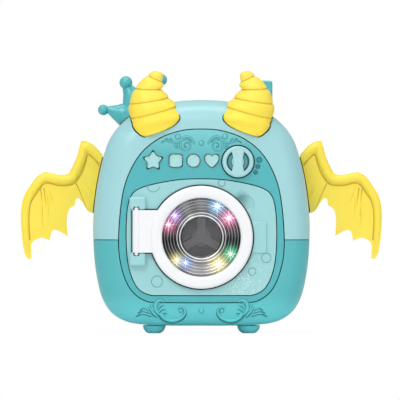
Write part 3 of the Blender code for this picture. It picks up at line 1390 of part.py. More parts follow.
def case_screws():
    """Four long screws from the back into the front shells' posts."""
    names = iter(range(1, 5))
    for z in (POST_HIGH_Z, POST_LOW_Z):
        for x in (-POST_X, POST_X):
            seat_y = REAR_Y - SCREW_SINK + FIT
            length = seat_y - (MID_Y - SCREW_BITE)
            screw("case_screw_%d" % next(names), (x, seat_y, z), SCREW_R, SCREW_HEAD_R,
                  SCREW_HEAD_T, length)


def feet():
    """Four bun feet with stems pressed up into the shells."""
    number = 0
    for end in (-1, 1):
        for side in (-1, 1):
            number += 1
            top = BODY_BOTTOM - FIT
            profile = [(0, top + FOOT_STEM), (FOOT_STEM_R, top + FOOT_STEM), (FOOT_STEM_R, top)]
            for i in range(4):
                angle = math.pi / 2 * i / 3
                radius = FOOT_R * (FOOT_BASE_SHARE + (1 - FOOT_BASE_SHARE) * math.cos(angle))
                profile.append((radius, top * (1 - math.sin(angle))))
            profile.append((0, 0))
            foot = turned("foot_%d" % number, profile, (side * FOOT_X, foot_y(end), 0), (0, 0, 0),
                          16)
            finish(foot, RUBBER)


# Horns, wings, crown and box

def horn(side, name):
    """A horn of stacked bands that leans out and hooks in, cut to the casing."""
    rows = []
    bands = HORN_BAND_SHARES
    for (h0, r0, x0, t0), (h1, r1, x1, t1) in zip(bands, bands[1:]):
        for i in range(3):
            t = i / 3
            bulge = HORN_BULGE_SHARE * math.sin(math.pi * t) ** 0.8
            if h0 == bands[0][0]:
                bulge = bulge * 1.6
            rows.append((h0 + (h1 - h0) * t, r0 + (r1 - r0) * t + bulge))
    rows.append((bands[-1][0], bands[-1][1]))
    profile = [(0, HORN_HEIGHT)] + [(radius * HORN_R, height * HORN_HEIGHT)
                                    for height, radius in reversed(rows)] + [(0, 0)]
    piece = turned(name, profile, (side * HORN_X, HORN_Y, HORN_LOW_Z), (0, 0, 0), 20)
    for vert in piece.data.vertices:
        lean, tilt = horn_bend(vert.co.z / HORN_HEIGHT)
        across = vert.co.x
        vert.co.x = side * (across + lean * HORN_R)
        vert.co.y *= HORN_DEPTH_SHARE
        vert.co.z -= tilt * across
    if side < 0:
        piece.data.flip_normals()
    core = rod("core", HORN_CORE_R, (side * HORN_X, HORN_Y, HORN_LOW_Z - OVERRUN),
               (side * HORN_X, HORN_Y, HORN_CORE_Z), 20, HORN_CORE_TOP_R)
    cut(piece, core, casing_form("seat", FIT))
    join(piece, rod("peg", HORN_PEG_R, (side * HORN_X, HORN_Y, HORN_PEG_LOW_Z),
                    (side * HORN_X, HORN_Y, HORN_CORE_Z + OVERRUN)))
    finish(piece, YELLOW, 60)


def horn_bend(share):
    """How far a horn leans outwards at a height, and how its bands tilt there."""
    bands = HORN_BAND_SHARES
    for (h0, r0, x0, t0), (h1, r1, x1, t1) in zip(bands, bands[1:]):
        if share <= h1:
            t = (share - h0) / (h1 - h0)
            t = t * t * (3 - 2 * t)
            return x0 + (x1 - x0) * t, t0 + (t1 - t0) * t
    return bands[-1][2], bands[-1][3]


def wing_neck(name, side, grow):
    """The neck of a wing where it passes through the casing's side at the parting line."""
    half_t, half_h = WING_NECK_T / 2 + grow, WING_NECK_H / 2 + grow
    length = WING_NECK_OUT_X - WING_NECK_IN_X
    neck = block(name, (-length / 2 - 2 * grow, -half_t, -half_h), (length / 2 + OVERRUN, half_t, half_h))
    middle = (WING_NECK_OUT_X + WING_NECK_IN_X) / 2
    neck.location = (side * middle, MID_Y, WING_NECK_Z)
    neck.rotation_euler = (0, -math.radians(WING_NECK_LEAN), 0 if side > 0 else math.pi)
    return neck


def wing(side, name):
    """A wing plate with its bone along the top, cut to the casing, on a trapped tab."""
    outline = [Vector((side * (WING_ROOT_X + x * WING_WIDTH), WING_LOW_Z + z * WING_HEIGHT))
               for x, z in WING_SHARES]
    piece = slab(name, outline, MID_Y - WING_T / 2, MID_Y + WING_T / 2)
    bone = [Vector((side * (WING_ROOT_X + x * WING_WIDTH), MID_Y, WING_LOW_Z + z * WING_HEIGHT))
            for x, z in BONE_SHARES]
    rib = tube("bone", bone, WING_BONE_R, BONE_SIZE_SHARES)
    combine(piece, rib, "UNION", True)
    cut(piece, casing_form("seat", FIT))
    join(piece, wing_neck("neck", side, 0))
    tab = block("tab", (-WING_TAB_T / 2, -WING_TAB_WIDTH / 2, -WING_NECK_H / 2),
                (WING_TAB_T / 2, WING_TAB_WIDTH / 2, WING_NECK_H / 2))
    tab.location = (side * WING_NECK_IN_X, MID_Y, WING_NECK_Z)
    tab.rotation_euler = (0, -side * math.radians(WING_NECK_LEAN), 0)
    join(piece, tab)
    finish(piece, YELLOW, 50)


def crown_frame(u, v):
    """World X and Z of a point across (u) and along (v) the leaning crown."""
    lean = math.radians(CROWN_LEAN)
    return (CROWN_X + u * math.cos(lean) - v * math.sin(lean),
            CROWN_Z + u * math.sin(lean) + v * math.cos(lean))


def crown_peg(name, grow):
    """The peg under the crown, along its leaning axis."""
    top_x, top_z = crown_frame(0, -CROWN_HEIGHT / 2)
    low_x, low_z = crown_frame(0, -CROWN_HEIGHT - PEG_LENGTH)
    return rod(name, PEG_R + grow, (top_x, CROWN_Y, top_z), (low_x, CROWN_Y, low_z), 20)


def crown():
    """A puffy three-pointed crown with a ball on each point, cut to the casing."""
    right = [Vector(crown_frame(x * CROWN_HALF, -z * CROWN_HEIGHT)) for x, z in CROWN_SHARES]
    left = [Vector(crown_frame(-x * CROWN_HALF, -z * CROWN_HEIGHT)) for x, z in CROWN_SHARES]
    outline = smooth_loop(right + list(reversed(left)), 2)
    half = CROWN_T / 2
    piece = slab("crown", outline, CROWN_Y - half, CROWN_Y + half, CROWN_ROUND, 0)
    for place_share, radius in CROWN_BALLS:
        drop = CROWN_DROP_SHARE * CROWN_HEIGHT * abs(place_share)
        x, z = crown_frame(place_share * CROWN_HALF, -drop)
        join(piece, ball("tip", radius, (x, CROWN_Y, z), 10, 6))
    cut(piece, casing_form("seat", FIT))
    join(piece, crown_peg("peg", 0))
    finish(piece, DARK_TEAL, 50)


def box_peg(name, grow):
    """The peg under the rear box."""
    x = (BOX_LOW_X + BOX_HIGH_X) / 2
    return rod(name, PEG_R + grow, (x, BOX_Y, BOX_TOP_Z - BOX_WALL / 2), (x, BOX_Y, BOX_LOW_Z), 20)


def rear_box():
    """A hollow moulded box behind the right horn, open below and cut to the casing."""
    half = BOX_DEPTH / 2
    piece = block("rear_box", (BOX_LOW_X, BOX_Y - half, BOX_LOW_Z),
                  (BOX_HIGH_X, BOX_Y + half, BOX_TOP_Z), BOX_ROUND)
    wall = BOX_WALL
    cut(piece, block("inside", (BOX_LOW_X + wall, BOX_Y - half + wall, BOX_LOW_Z - OVERRUN),
                     (BOX_HIGH_X - wall, BOX_Y + half - wall, BOX_TOP_Z - wall)),
        casing_form("seat", FIT))
    join(piece, box_peg("peg", 0))
    finish(piece, DARK_TEAL)


casing_shells()
front_fascia()
door_surround()
door()
led_ring()
drum_group()
tub_group()
motor_group()
for button_name, button_x, button_outline in BUTTONS:
    button(button_name, button_x, button_outline)
knob()
board_group()
battery_group()
speaker()
power_switch()
wires()
case_screws()
feet()
for which, word in ((-1, "left"), (1, "right")):
    horn(which, "horn_" + word)
    wing(which, "wing_" + word)
crown()
rear_box()
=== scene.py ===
import math

import bmesh
import bpy
from mathutils import Matrix, Vector


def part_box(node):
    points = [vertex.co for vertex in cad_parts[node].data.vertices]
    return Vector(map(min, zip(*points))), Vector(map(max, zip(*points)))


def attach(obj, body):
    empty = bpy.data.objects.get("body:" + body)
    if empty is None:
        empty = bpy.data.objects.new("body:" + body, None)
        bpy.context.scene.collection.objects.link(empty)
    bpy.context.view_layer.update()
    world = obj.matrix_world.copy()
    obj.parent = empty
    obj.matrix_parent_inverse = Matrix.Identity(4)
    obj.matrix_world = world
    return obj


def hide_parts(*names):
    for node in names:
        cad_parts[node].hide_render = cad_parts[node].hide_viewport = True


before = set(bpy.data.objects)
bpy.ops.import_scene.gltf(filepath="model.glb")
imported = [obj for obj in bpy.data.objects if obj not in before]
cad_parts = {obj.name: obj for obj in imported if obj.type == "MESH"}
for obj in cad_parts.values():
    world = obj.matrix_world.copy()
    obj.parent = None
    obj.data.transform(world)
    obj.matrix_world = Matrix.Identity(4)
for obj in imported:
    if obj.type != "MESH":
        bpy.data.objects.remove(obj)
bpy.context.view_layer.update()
MM = 0.001


# Studio.
# A level camera far in front of the toy, a pale floor and backdrop, one large soft lamp high on
# the left, a weaker one on the right and a strip overhead.

camera_data = bpy.data.cameras.new("camera")
camera_data.lens = 847
camera = bpy.data.objects.new("camera", camera_data)
camera.location = (-1.2 * MM, -8.03, 113.4 * MM)
camera.rotation_euler = (math.radians(90), 0, 0)
bpy.context.scene.collection.objects.link(camera)
bpy.context.scene.camera = camera
bpy.context.scene.view_settings.view_transform = "Standard"


def softbox(name, place, aim, width, height, watts):
    """A rectangular lamp that faces a point."""
    lamp = bpy.data.lights.new(name, "AREA")
    lamp.shape = "RECTANGLE"
    lamp.size = width
    lamp.size_y = height
    lamp.energy = watts
    holder = bpy.data.objects.new(name, lamp)
    holder.location = place
    holder.rotation_euler = (Vector(aim) - Vector(place)).to_track_quat("-Z", "Y").to_euler()
    bpy.context.scene.collection.objects.link(holder)


softbox("key_lamp", (-0.7, -1.5, 1.3), (0, 0, 0.1), 0.8, 0.8, 12.5)
softbox("fill_lamp", (1.3, -1.4, 0.5), (0, 0, 0.1), 1.0, 1.0, 3.5)
softbox("low_lamp", (0.1, -1.7, 0.2), (0, 0, 0.05), 1.4, 0.35, 1.9)
softbox("top_strip", (0, -0.2, 1.4), (0, 0, 0.1), 1.4, 0.4, 7)


def feed(tree, target, *sockets, **values):
    """Fill a node's inputs, in order or by name, each from a constant or from a socket."""
    pairs = [(i, value) for i, value in enumerate(sockets) if value is not None]
    pairs += [(key.replace("_", " "), value) for key, value in values.items()]
    for key, value in pairs:
        if isinstance(value, bpy.types.NodeSocket):
            tree.links.new(value, target.inputs[key])
        else:
            target.inputs[key].default_value = value


def node(tree, kind, *sockets, **values):
    """A new node; names with a capital are inputs and the others are settings."""
    new = tree.nodes.new(kind)
    for key in [key for key in values if key[0].islower()]:
        setattr(new, key, values.pop(key))
    feed(tree, new, *sockets, **values)
    return new


def seen_rays(tree):
    """One for rays from the camera, and for those that glass sends on."""
    path = node(tree, "ShaderNodeLightPath")
    return node(tree, "ShaderNodeMath", path.outputs["Is Camera Ray"],
                path.outputs["Is Transmission Ray"], operation="MAXIMUM").outputs[0]


world = bpy.data.worlds.new("studio")
world.use_nodes = True
bpy.context.scene.world = world
tree = world.node_tree
tree.nodes.clear()
light = node(tree, "ShaderNodeBackground", Color=(0.94, 0.97, 1.0, 1), Strength=0.50)
white = node(tree, "ShaderNodeBackground", Color=(1, 1, 1, 1), Strength=1.0)
choice = node(tree, "ShaderNodeMixShader", seen_rays(tree), light.outputs[0], white.outputs[0])
node(tree, "ShaderNodeOutputWorld", choice.outputs[0])

floor_mat = bpy.data.materials.new("pale_floor")
floor_mat.use_nodes = True
tree = floor_mat.node_tree
tree.nodes.clear()
place = node(tree, "ShaderNodeTexCoord")
reach = node(tree, "ShaderNodeVectorMath", place.outputs["Object"], operation="LENGTH")
far = node(tree, "ShaderNodeMapRange", reach.outputs["Value"], From_Min=0.05, From_Max=0.22,
           To_Min=0.95, To_Max=1.0)
share = node(tree, "ShaderNodeMath", seen_rays(tree), far.outputs["Result"], operation="MULTIPLY")
paper = node(tree, "ShaderNodeBsdfDiffuse", Color=(0.92, 0.92, 0.92, 1))
glow = node(tree, "ShaderNodeEmission", Color=(1, 1, 1, 1))
choice = node(tree, "ShaderNodeMixShader", share.outputs[0], paper.outputs[0], glow.outputs[0])
node(tree, "ShaderNodeOutputMaterial", choice.outputs[0])

bm = bmesh.new()
bmesh.ops.create_grid(bm, x_segments=1, y_segments=1, size=6.0)
floor_mesh = bpy.data.meshes.new("floor")
bm.to_mesh(floor_mesh)
bm.free()
floor_mesh.materials.append(floor_mat)
floor = bpy.data.objects.new("floor", floor_mesh)
bpy.context.scene.collection.objects.link(floor)


# Casing.
# Light teal hood and dark teal base in front, one dark teal rear shell behind, injection moulded
# in satin ABS with broad rolled edges, and screwed together from the back.

BODY = (184.2 * MM, 191.8 * MM, 6.6 * MM)
FRONT_Y, MID_Y, REAR_Y = -48 * MM, 4 * MM, 56 * MM
EDGE_R = 21 * MM
WALL = 2.5 * MM
SPLIT_Z = 79.6 * MM
FASCIA = (140 * MM, 146.9 * MM, 26.4 * MM)
FASCIA_BACK_Y = -45.6 * MM
BODY_SHARES = (
    (0.000, 0.000), (0.240, 0.007), (0.470, 0.032), (0.670, 0.076), (0.838, 0.166),
    (0.930, 0.298), (0.985, 0.455), (1.000, 0.590), (0.975, 0.755), (0.905, 0.890),
    (0.765, 0.966), (0.520, 0.996), (0.000, 1.000),
)
FASCIA_SHARES = (
    (0.000, 0.000), (0.250, 0.010), (0.516, 0.056), (0.740, 0.146), (0.890, 0.275),
    (0.965, 0.420), (1.000, 0.640), (0.970, 0.785), (0.870, 0.912), (0.700, 0.984),
    (0.462, 0.998),
)
SEAM_LINE = 0.32 * MM
CUT_Y, REAR_CUT_Y = FRONT_Y - 2 * MM, REAR_Y + 4 * MM
NECK_X, NECK_Z, NECK_TILT = 85 * MM, 127 * MM, -9.5


def srgb(red, green, blue):
    """Linear colour from the 0 to 255 values of a picture."""
    return tuple(((c / 255 + 0.055) / 1.055) ** 2.4 if c > 10 else c / 3294.6
                 for c in (red, green, blue)) + (1.0,)


def smooth_loop(points, steps, closed=True):
    """A curve through the points, with more points between them."""
    count = len(points)
    result = []
    for i in range(count if closed else count - 1):
        if closed:
            near = [Vector(points[(i + k) % count]) for k in (-1, 0, 1, 2)]
        else:
            near = [Vector(points[min(max(i + k, 0), count - 1)]) for k in (-1, 0, 1, 2)]
        before, start, end, after = near
        for step in range(steps):
            t = step / steps
            result.append(0.5 * (2 * start + (end - before) * t
                                 + (2 * before - 5 * start + 4 * end - after) * t * t
                                 + (3 * start - before - 3 * end + after) * t ** 3))
    if not closed:
        result.append(Vector(points[-1]))
    return result


def grown(points, distance):
    """A closed outline moved outwards, with its corners mitred."""
    count = len(points)
    area = sum(points[i - 1].cross(points[i]) for i in range(count))
    side = 1 if area > 0 else -1
    result = []
    for i in range(count):
        before = (points[i] - points[i - 1]).normalized()
        after = (points[(i + 1) % count] - points[i]).normalized()
        along = (before + after).normalized()
        reach = distance / max(along.dot(before), 0.5)
        result.append(points[i] + Vector((along.y, -along.x)) * side * reach)
    return result


def mirrored(shares, size, steps=8):
    """A closed outline from the shares of its right half, for a width, height and lowest z."""
    width, height, bottom = size
    right = [Vector((x * width / 2, bottom + (1 - z) * height)) for x, z in shares]
    left = [Vector((-point.x, point.y)) for point in reversed(right) if point.x > 0]
    return smooth_loop(right + left, steps)


def plate(outline, front_y, back_y, rounding=0.0, segments=4, both=False):
    """A flat piece that faces the front, from an outline in x and z, with a rounded rim."""
    bm = bmesh.new()
    rim = [bm.verts.new((x, front_y, z)) for x, z in outline]
    made = bmesh.ops.extrude_face_region(bm, geom=[bm.faces.new(rim)])
    moved = [part for part in made["geom"] if isinstance(part, bmesh.types.BMVert)]
    bmesh.ops.translate(bm, vec=(0, back_y - front_y, 0), verts=moved)
    bmesh.ops.recalc_face_normals(bm, faces=bm.faces)
    if rounding > 0:
        ends = (front_y, back_y) if both else (front_y,)
        edges = [edge for edge in bm.edges
                 if any(all(abs(v.co.y - end) < 1e-7 for v in edge.verts) for end in ends)]
        bmesh.ops.bevel(bm, geom=edges, offset=rounding, offset_type="OFFSET", segments=segments,
                        profile=0.5, affect="EDGES", clamp_overlap=False, material=-1)
    return bm


def lathe(bm, verts, axis, steps):
    """Turn a line of points round an axis through the origin, and close the shape."""
    edges = [edge for vert in verts for edge in vert.link_edges]
    bmesh.ops.spin(bm, geom=verts + list(dict.fromkeys(edges)), cent=(0, 0, 0), axis=axis,
                   angle=math.tau, steps=steps, use_merge=True)
    bmesh.ops.remove_doubles(bm, verts=bm.verts, dist=1e-6)


def spun(profile, centre, steps=96, closed=True):
    """A profile of (radius, y) points in mm turned round an axis along Y at a centre (x, z)."""
    bm = bmesh.new()
    verts = [bm.verts.new((radius * MM, y * MM, 0)) for radius, y in profile]
    for pair in zip(verts, verts[1:] + verts[:1] if closed else verts[1:]):
        bm.edges.new(pair)
    lathe(bm, verts, (0, 1, 0), steps)
    bmesh.ops.translate(bm, vec=(centre[0], 0, centre[1]), verts=bm.verts)
    bmesh.ops.recalc_face_normals(bm, faces=bm.faces)
    return bm


def brick(low, high, rounding=0.0, segments=3):
    """A box between two corners."""
    low, high = Vector(low), Vector(high)
    bm = bmesh.new()
    bmesh.ops.create_cube(bm, size=1.0)
    bmesh.ops.scale(bm, vec=high - low, verts=bm.verts)
    if rounding > 0:
        bmesh.ops.bevel(bm, geom=bm.edges[:], offset=rounding, offset_type="OFFSET",
                        segments=segments, profile=0.5, affect="EDGES", clamp_overlap=True,
                        material=-1)
    bmesh.ops.translate(bm, vec=(low + high) / 2, verts=bm.verts)
    return bm


def peg(radius, start, end, segments=32):
    """A cylinder between two points."""
    start, end = Vector(start), Vector(end)
    bm = bmesh.new()
    bmesh.ops.create_cone(bm, cap_ends=True, segments=segments, radius1=radius, radius2=radius,
                          depth=(end - start).length)
    turn = (end - start).to_track_quat("Z", "Y").to_matrix().to_4x4()
    bmesh.ops.transform(bm, matrix=Matrix.Translation((start + end) / 2) @ turn, verts=bm.verts)
    return bm


def made(bm, name, *mats):
    """A mesh object from a bmesh."""
    mesh = bpy.data.meshes.new(name)
    bm.to_mesh(mesh)
    bm.free()
    for mat in mats:
        mesh.materials.append(mat)
    piece = bpy.data.objects.new(name, mesh)
    bpy.context.scene.collection.objects.link(piece)
    return piece


def carve(piece, bm, operation="DIFFERENCE", mat=None, tangled=False):
    """One Boolean step with a shape that is used up; its faces bring their own material."""
    other = made(bm, "shape", mat or piece.data.materials[0])
    step = piece.modifiers.new("carve", "BOOLEAN")
    step.operation = operation
    step.solver = "EXACT"
    step.material_mode = "TRANSFER"
    step.use_self = tangled
    step.object = other
    bpy.context.view_layer.update()
    graph = bpy.context.evaluated_depsgraph_get()
    mesh = bpy.data.meshes.new_from_object(piece.evaluated_get(graph))
    piece.modifiers.clear()
    old, piece.data = piece.data, mesh
    mesh.name = piece.name
    bpy.data.meshes.remove(old)
    used = other.data
    bpy.data.objects.remove(other, do_unlink=True)
    bpy.data.meshes.remove(used)
    return piece


def soften(piece, edge, angle, segments=2):
    """Round the edges that are sharper than an angle."""
    soft = piece.modifiers.new("soft_edges", "BEVEL")
    soft.width = edge
    soft.segments = segments
    soft.limit_method = "ANGLE"
    soft.angle_limit = math.radians(angle)
    soft.harden_normals = False


def fit(piece, body, *nodes, slot=None, angle=35, edge=0.0, segments=2):
    """Smooth shading with crisp or softly rounded edges, then the piece's body and nodes."""
    piece.data.shade_smooth()
    piece.data.set_sharp_from_angle(angle=math.radians(angle))
    if edge > 0:
        soften(piece, edge, angle, segments)
    piece.modifiers.new("even_shading", "WEIGHTED_NORMAL").keep_sharp = True
    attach(piece, body)
    if nodes:
        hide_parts(*nodes)


def new_group(name, inputs, outputs):
    """An empty shader node group with named sockets."""
    group = bpy.data.node_groups.new(name, "ShaderNodeTree")
    for label, kind, value in inputs:
        socket = group.interface.new_socket(name=label, in_out="INPUT", socket_type=kind)
        if value is not None:
            socket.default_value = value
    for label, kind in outputs:
        group.interface.new_socket(name=label, in_out="OUTPUT", socket_type=kind)
    return group, group.nodes.new("NodeGroupInput"), group.nodes.new("NodeGroupOutput")


def math_node(tree, operation, first, second=None, clamp=False):
    """One Math node; each input is a socket or a number."""
    return node(tree, "ShaderNodeMath", first, second, operation=operation,
                use_clamp=clamp).outputs[0]


def mix_colours(tree, factor, first, second):
    """One colour Mix node; each input is a socket or a value."""
    numbers_and_vectors = [None] * 5
    return node(tree, "ShaderNodeMix", factor, *numbers_and_vectors, first, second,
                data_type="RGBA").outputs[2]


def ramp(tree, value, low, high):
    """A value mapped from low..high to 0..1, clamped."""
    return node(tree, "ShaderNodeMapRange", value, low, high).outputs["Result"]


def own_place(tree):
    """Where a point lies in the piece's own frame."""
    return node(tree, "ShaderNodeTexCoord").outputs["Object"]


def own_parts(tree):
    """X, Y and Z of a point in the piece's own frame."""
    return node(tree, "ShaderNodeSeparateXYZ", own_place(tree)).outputs


moulded, way_in, way_out = new_group(
    "moulded_surface",
    [("Colour", "NodeSocketColor", (0.5, 0.5, 0.5, 1)), ("Flow", "NodeSocketFloat", 0.06),
     ("Gloss", "NodeSocketFloat", 0.32), ("Grain", "NodeSocketFloat", 1.0)],
    [("Colour", "NodeSocketColor"), ("Roughness", "NodeSocketFloat"),
     ("Height", "NodeSocketFloat")])
flow, grain, smear = (node(moulded, "ShaderNodeTexNoise", own_place(moulded), Scale=scale,
                           Detail=detail) for scale, detail in ((22, 3), (2600, 2), (70, 4)))
specks = node(moulded, "ShaderNodeTexVoronoi", own_place(moulded), Scale=420.0)
shift = math_node(moulded, "SUBTRACT", flow.outputs["Fac"], 0.5)
shift = math_node(moulded, "MULTIPLY", shift, way_in.outputs["Flow"])
tinted = node(moulded, "ShaderNodeVectorMath", way_in.outputs["Colour"], operation="SCALE",
              Scale=math_node(moulded, "ADD", shift, 1.0))
dust = math_node(moulded, "LESS_THAN", specks.outputs["Distance"], 0.06)
dust = math_node(moulded, "MULTIPLY", dust, ramp(moulded, smear.outputs["Fac"], 0.55, 0.7))
dusted = mix_colours(moulded, math_node(moulded, "MULTIPLY", dust, 0.18), tinted.outputs[0],
                     (0.9, 0.9, 0.9, 1))
rough = math_node(moulded, "MULTIPLY", ramp(moulded, smear.outputs["Fac"], 0.35, 0.75), 0.10)
rough = math_node(moulded, "ADD", rough, way_in.outputs["Gloss"])
rough = math_node(moulded, "ADD", rough, math_node(moulded, "MULTIPLY", dust, 0.2))
bumps = math_node(moulded, "MULTIPLY", grain.outputs["Fac"], way_in.outputs["Grain"])
waves = math_node(moulded, "MULTIPLY", flow.outputs["Fac"], 1.5)
feed(moulded, way_out, Colour=dusted, Roughness=rough,
     Height=math_node(moulded, "ADD", bumps, waves))


def new_surface(name):
    """A new material, its node tree and its shader."""
    mat = bpy.data.materials.new(name)
    mat.use_nodes = True
    return mat, mat.node_tree, mat.node_tree.nodes["Principled BSDF"]


def plastic(name, base, gloss=0.30, grain=1.0, flow=0.06, coat=0.12, fade=None, shade=None):
    """Moulded plastic; fade is a second colour reached between two heights z."""
    mat, tree, shader = new_surface(name)
    skin = node(tree, "ShaderNodeGroup", node_tree=moulded, Colour=base, Flow=flow, Gloss=gloss,
                Grain=grain)
    if fade:
        second, low, high = fade
        blend = ramp(tree, own_parts(tree)["Z"], low, high)
        feed(tree, skin, Colour=mix_colours(tree, blend, base, second))
    colour = skin.outputs["Colour"]
    if shade:
        colour = shade(tree, colour)
    bump = node(tree, "ShaderNodeBump", Strength=0.35, Distance=0.06 * MM,
                Height=skin.outputs["Height"])
    feed(tree, shader, Base_Color=colour, Roughness=skin.outputs["Roughness"],
         Normal=bump.outputs["Normal"], Coat_Weight=coat, Coat_Roughness=0.18)
    return mat


hood_teal = plastic("hood_teal", srgb(158, 209, 213))
# Painted light: paler along the lower rolled edge, where light from below is painted in.
base_teal_painted_low_light = plastic("base_teal_painted_low_light", srgb(106, 216, 221), fade=(srgb(80, 181, 185), 10 * MM, 34 * MM))
# Painted shade: a near-black plastic for the walls of seams, holes and slots, where shadow falls in
# the gaps.
painted_seam_shadow = plastic("painted_seam_shadow", srgb(8, 28, 32), gloss=0.7, coat=0.0)
seam_shade = plastic("seam_shade", srgb(34, 104, 110), gloss=0.7, coat=0.0,
                     fade=(srgb(8, 28, 32), 56 * MM, 96 * MM))


def casing_form(grow):
    """The body's outer form with rolled edges, larger or smaller all over."""
    outline = grown(mirrored(BODY_SHARES, BODY, 6), grow)
    return plate(outline, FRONT_Y - grow, REAR_Y + grow, EDGE_R + grow, 14, both=True)


def slab_space(low_y, high_y, low_z, high_z):
    """A block wider than the body."""
    return brick((-0.3, low_y, low_z), (0.3, high_y, high_z))


def twin(piece, name, mat):
    """A copy of a piece with another first material."""
    copy = piece.copy()
    copy.data = piece.data.copy()
    copy.name = name
    copy.data.materials[0] = mat
    bpy.context.scene.collection.objects.link(copy)
    return copy


fascia_line = mirrored(FASCIA_SHARES, FASCIA)
rear_shell = made(casing_form(0), "rear_casing", base_teal_painted_low_light)
carve(rear_shell, casing_form(-WALL))
front_shell = twin(rear_shell, "hood_casing", hood_teal)
carve(front_shell, slab_space(-0.3, MID_Y - SEAM_LINE, -0.3, 0.5), "INTERSECT")
carve(rear_shell, slab_space(MID_Y + SEAM_LINE, 0.3, -0.3, 0.5), "INTERSECT")
carve(front_shell, plate(grown(fascia_line, 3 * MM), FRONT_Y + 1 * MM, FASCIA_BACK_Y + 2.6 * MM),
      "UNION")
carve(front_shell, plate(grown(fascia_line, 0.70 * MM), CUT_Y, FASCIA_BACK_Y + 0.3 * MM),
      mat=seam_shade)
carve(front_shell, plate(grown(fascia_line, -2.2 * MM), CUT_Y, FASCIA_BACK_Y + 6 * MM))


def neck_form(side, low, high):
    """A block for a wing's neck, or for its slot, at the parting line."""
    bm = brick(low, high)
    turn = Matrix.Rotation(side * math.radians(NECK_TILT), 4, "Y")
    bmesh.ops.transform(bm, matrix=Matrix.Translation((side * NECK_X, MID_Y, NECK_Z)) @ turn,
                        verts=bm.verts)
    return bm


for side in (-1, 1):
    for shell in (front_shell, rear_shell):
        carve(shell, neck_form(side, (-6 * MM, -2.6 * MM, -17.4 * MM),
                               (7 * MM, 2.6 * MM, 17.4 * MM)))

base = twin(front_shell, "base_casing", base_teal_painted_low_light)
carve(front_shell, slab_space(-0.3, 0.3, SPLIT_Z + SEAM_LINE, 0.5), "INTERSECT")
carve(base, slab_space(-0.3, 0.3, -0.3, SPLIT_Z - SEAM_LINE), "INTERSECT")

# The rear shell has a speaker grille, a switch slot, a battery hatch and four deep screw wells.
SKIN_Y = 52 * MM
GRILLE_X, GRILLE_Z, GRILLE_R, SLAT_STEP = -36 * MM, 140 * MM, 12 * MM, 4.2 * MM
SCREW_X, SCREW_Z = 64 * MM, (34 * MM, 148 * MM)
# Painted shade: the walls of the hatch and switch openings take the near-black shade.
for half_width, low_z, high_z in ((28.65, 34.75, 80.05), (5.5, 76, 88.05)):
    carve(rear_shell, brick((-half_width * MM, SKIN_Y, low_z * MM),
                            (half_width * MM, REAR_CUT_Y, high_z * MM)), mat=painted_seam_shadow)
for row in range(-2, 3):
    z = GRILLE_Z + row * SLAT_STEP
    half = math.sqrt(1 - (row * SLAT_STEP / (1.5 * GRILLE_R)) ** 2) * GRILLE_R
    carve(rear_shell, brick((GRILLE_X - half, SKIN_Y, z - 0.9 * MM),
                            (GRILLE_X + half, REAR_CUT_Y, z + 0.9 * MM)))
carve(rear_shell, brick((33.5 * MM, SKIN_Y, 128.1 * MM), (42.5 * MM, REAR_CUT_Y, 131.9 * MM)))
for x in (-SCREW_X, SCREW_X):
    for z in SCREW_Z:
        carve(rear_shell, peg(4.8 * MM, (x, MID_Y + 1 * MM, z), (x, 54 * MM, z)), "UNION")
        carve(rear_shell, peg(1.6 * MM, (x, MID_Y - 2 * MM, z), (x, REAR_CUT_Y, z)))
        carve(rear_shell, peg(3.3 * MM, (x, 44 * MM, z), (x, REAR_CUT_Y, z)))

fit(front_shell, "cabinet", "hood_shell", edge=0.5 * MM)
fit(base, "cabinet", "base_shell", edge=0.4 * MM)
fit(rear_shell, "cabinet", "rear_shell", edge=0.3 * MM)


# Arched control panel.
# Dark teal ABS plate let into the hood and the base, with the holes for its buttons, three round
# dimples beside the knob and a raised scroll above.

SURROUND = (127.2 * MM, 99.6 * MM, 31.5 * MM)
PANEL_Y, PANEL_BACK_Y = -48.5 * MM, -45.6 * MM
DOOR_Z = 81.8 * MM
SURROUND_SHARES = (
    (0.000, 0.000), (0.300, 0.008), (0.600, 0.040), (0.810, 0.079), (0.925, 0.134),
    (0.980, 0.240), (1.000, 0.430), (0.990, 0.640), (0.945, 0.798), (0.850, 0.924),
    (0.700, 0.982), (0.481, 0.989),
)
HEART_SHARES = (
    (0.00, 0.150), (0.20, 0.050), (0.50, 0.000), (0.84, 0.090), (1.00, 0.310),
    (0.90, 0.540), (0.60, 0.770), (0.24, 0.960), (0.00, 1.010),
)
BUTTON_Z = 146.7 * MM
surround_line = mirrored(SURROUND_SHARES, SURROUND)


def ring_line(radius, centre=(0, 0), count=48):
    """Points on a circle."""
    return [Vector((centre[0] + radius * math.cos(math.tau * i / count),
                    centre[1] + radius * math.sin(math.tau * i / count))) for i in range(count)]


def star_line():
    """A five-pointed star with round tips."""
    corners = []
    for i in range(10):
        angle = math.pi / 2 + math.tau * i / 10
        reach = (5.28 if i % 2 else 8.8) * MM
        corners.append(Vector((math.cos(angle), math.sin(angle))) * reach)
    points = []
    for i, corner in enumerate(corners):
        ahead, behind = corners[(i + 1) % 10] - corner, corners[i - 1] - corner
        soft = 0.17 if i % 2 == 0 else 0.12
        for step in range(7):
            t = step / 6
            points.append(corner + behind * soft * (1 - t) ** 2 + ahead * soft * t ** 2)
    return points


def square_line():
    """A square with round corners."""
    half, radius = 5.65 * MM, 2.8 * MM
    points = []
    for corner in range(4):
        middle = math.pi / 4 + corner * math.pi / 2
        centre = Vector((math.copysign(half - radius, math.cos(middle)),
                         math.copysign(half - radius, math.sin(middle))))
        for step in range(9):
            angle = corner * math.pi / 2 + step * math.pi / 16
            points.append(centre + Vector((math.cos(angle), math.sin(angle))) * radius)
    return points


def moved(points, x, z, share=1.0):
    """An outline shifted to its place, and made larger or smaller."""
    return [point * share + Vector((x, z)) for point in points]


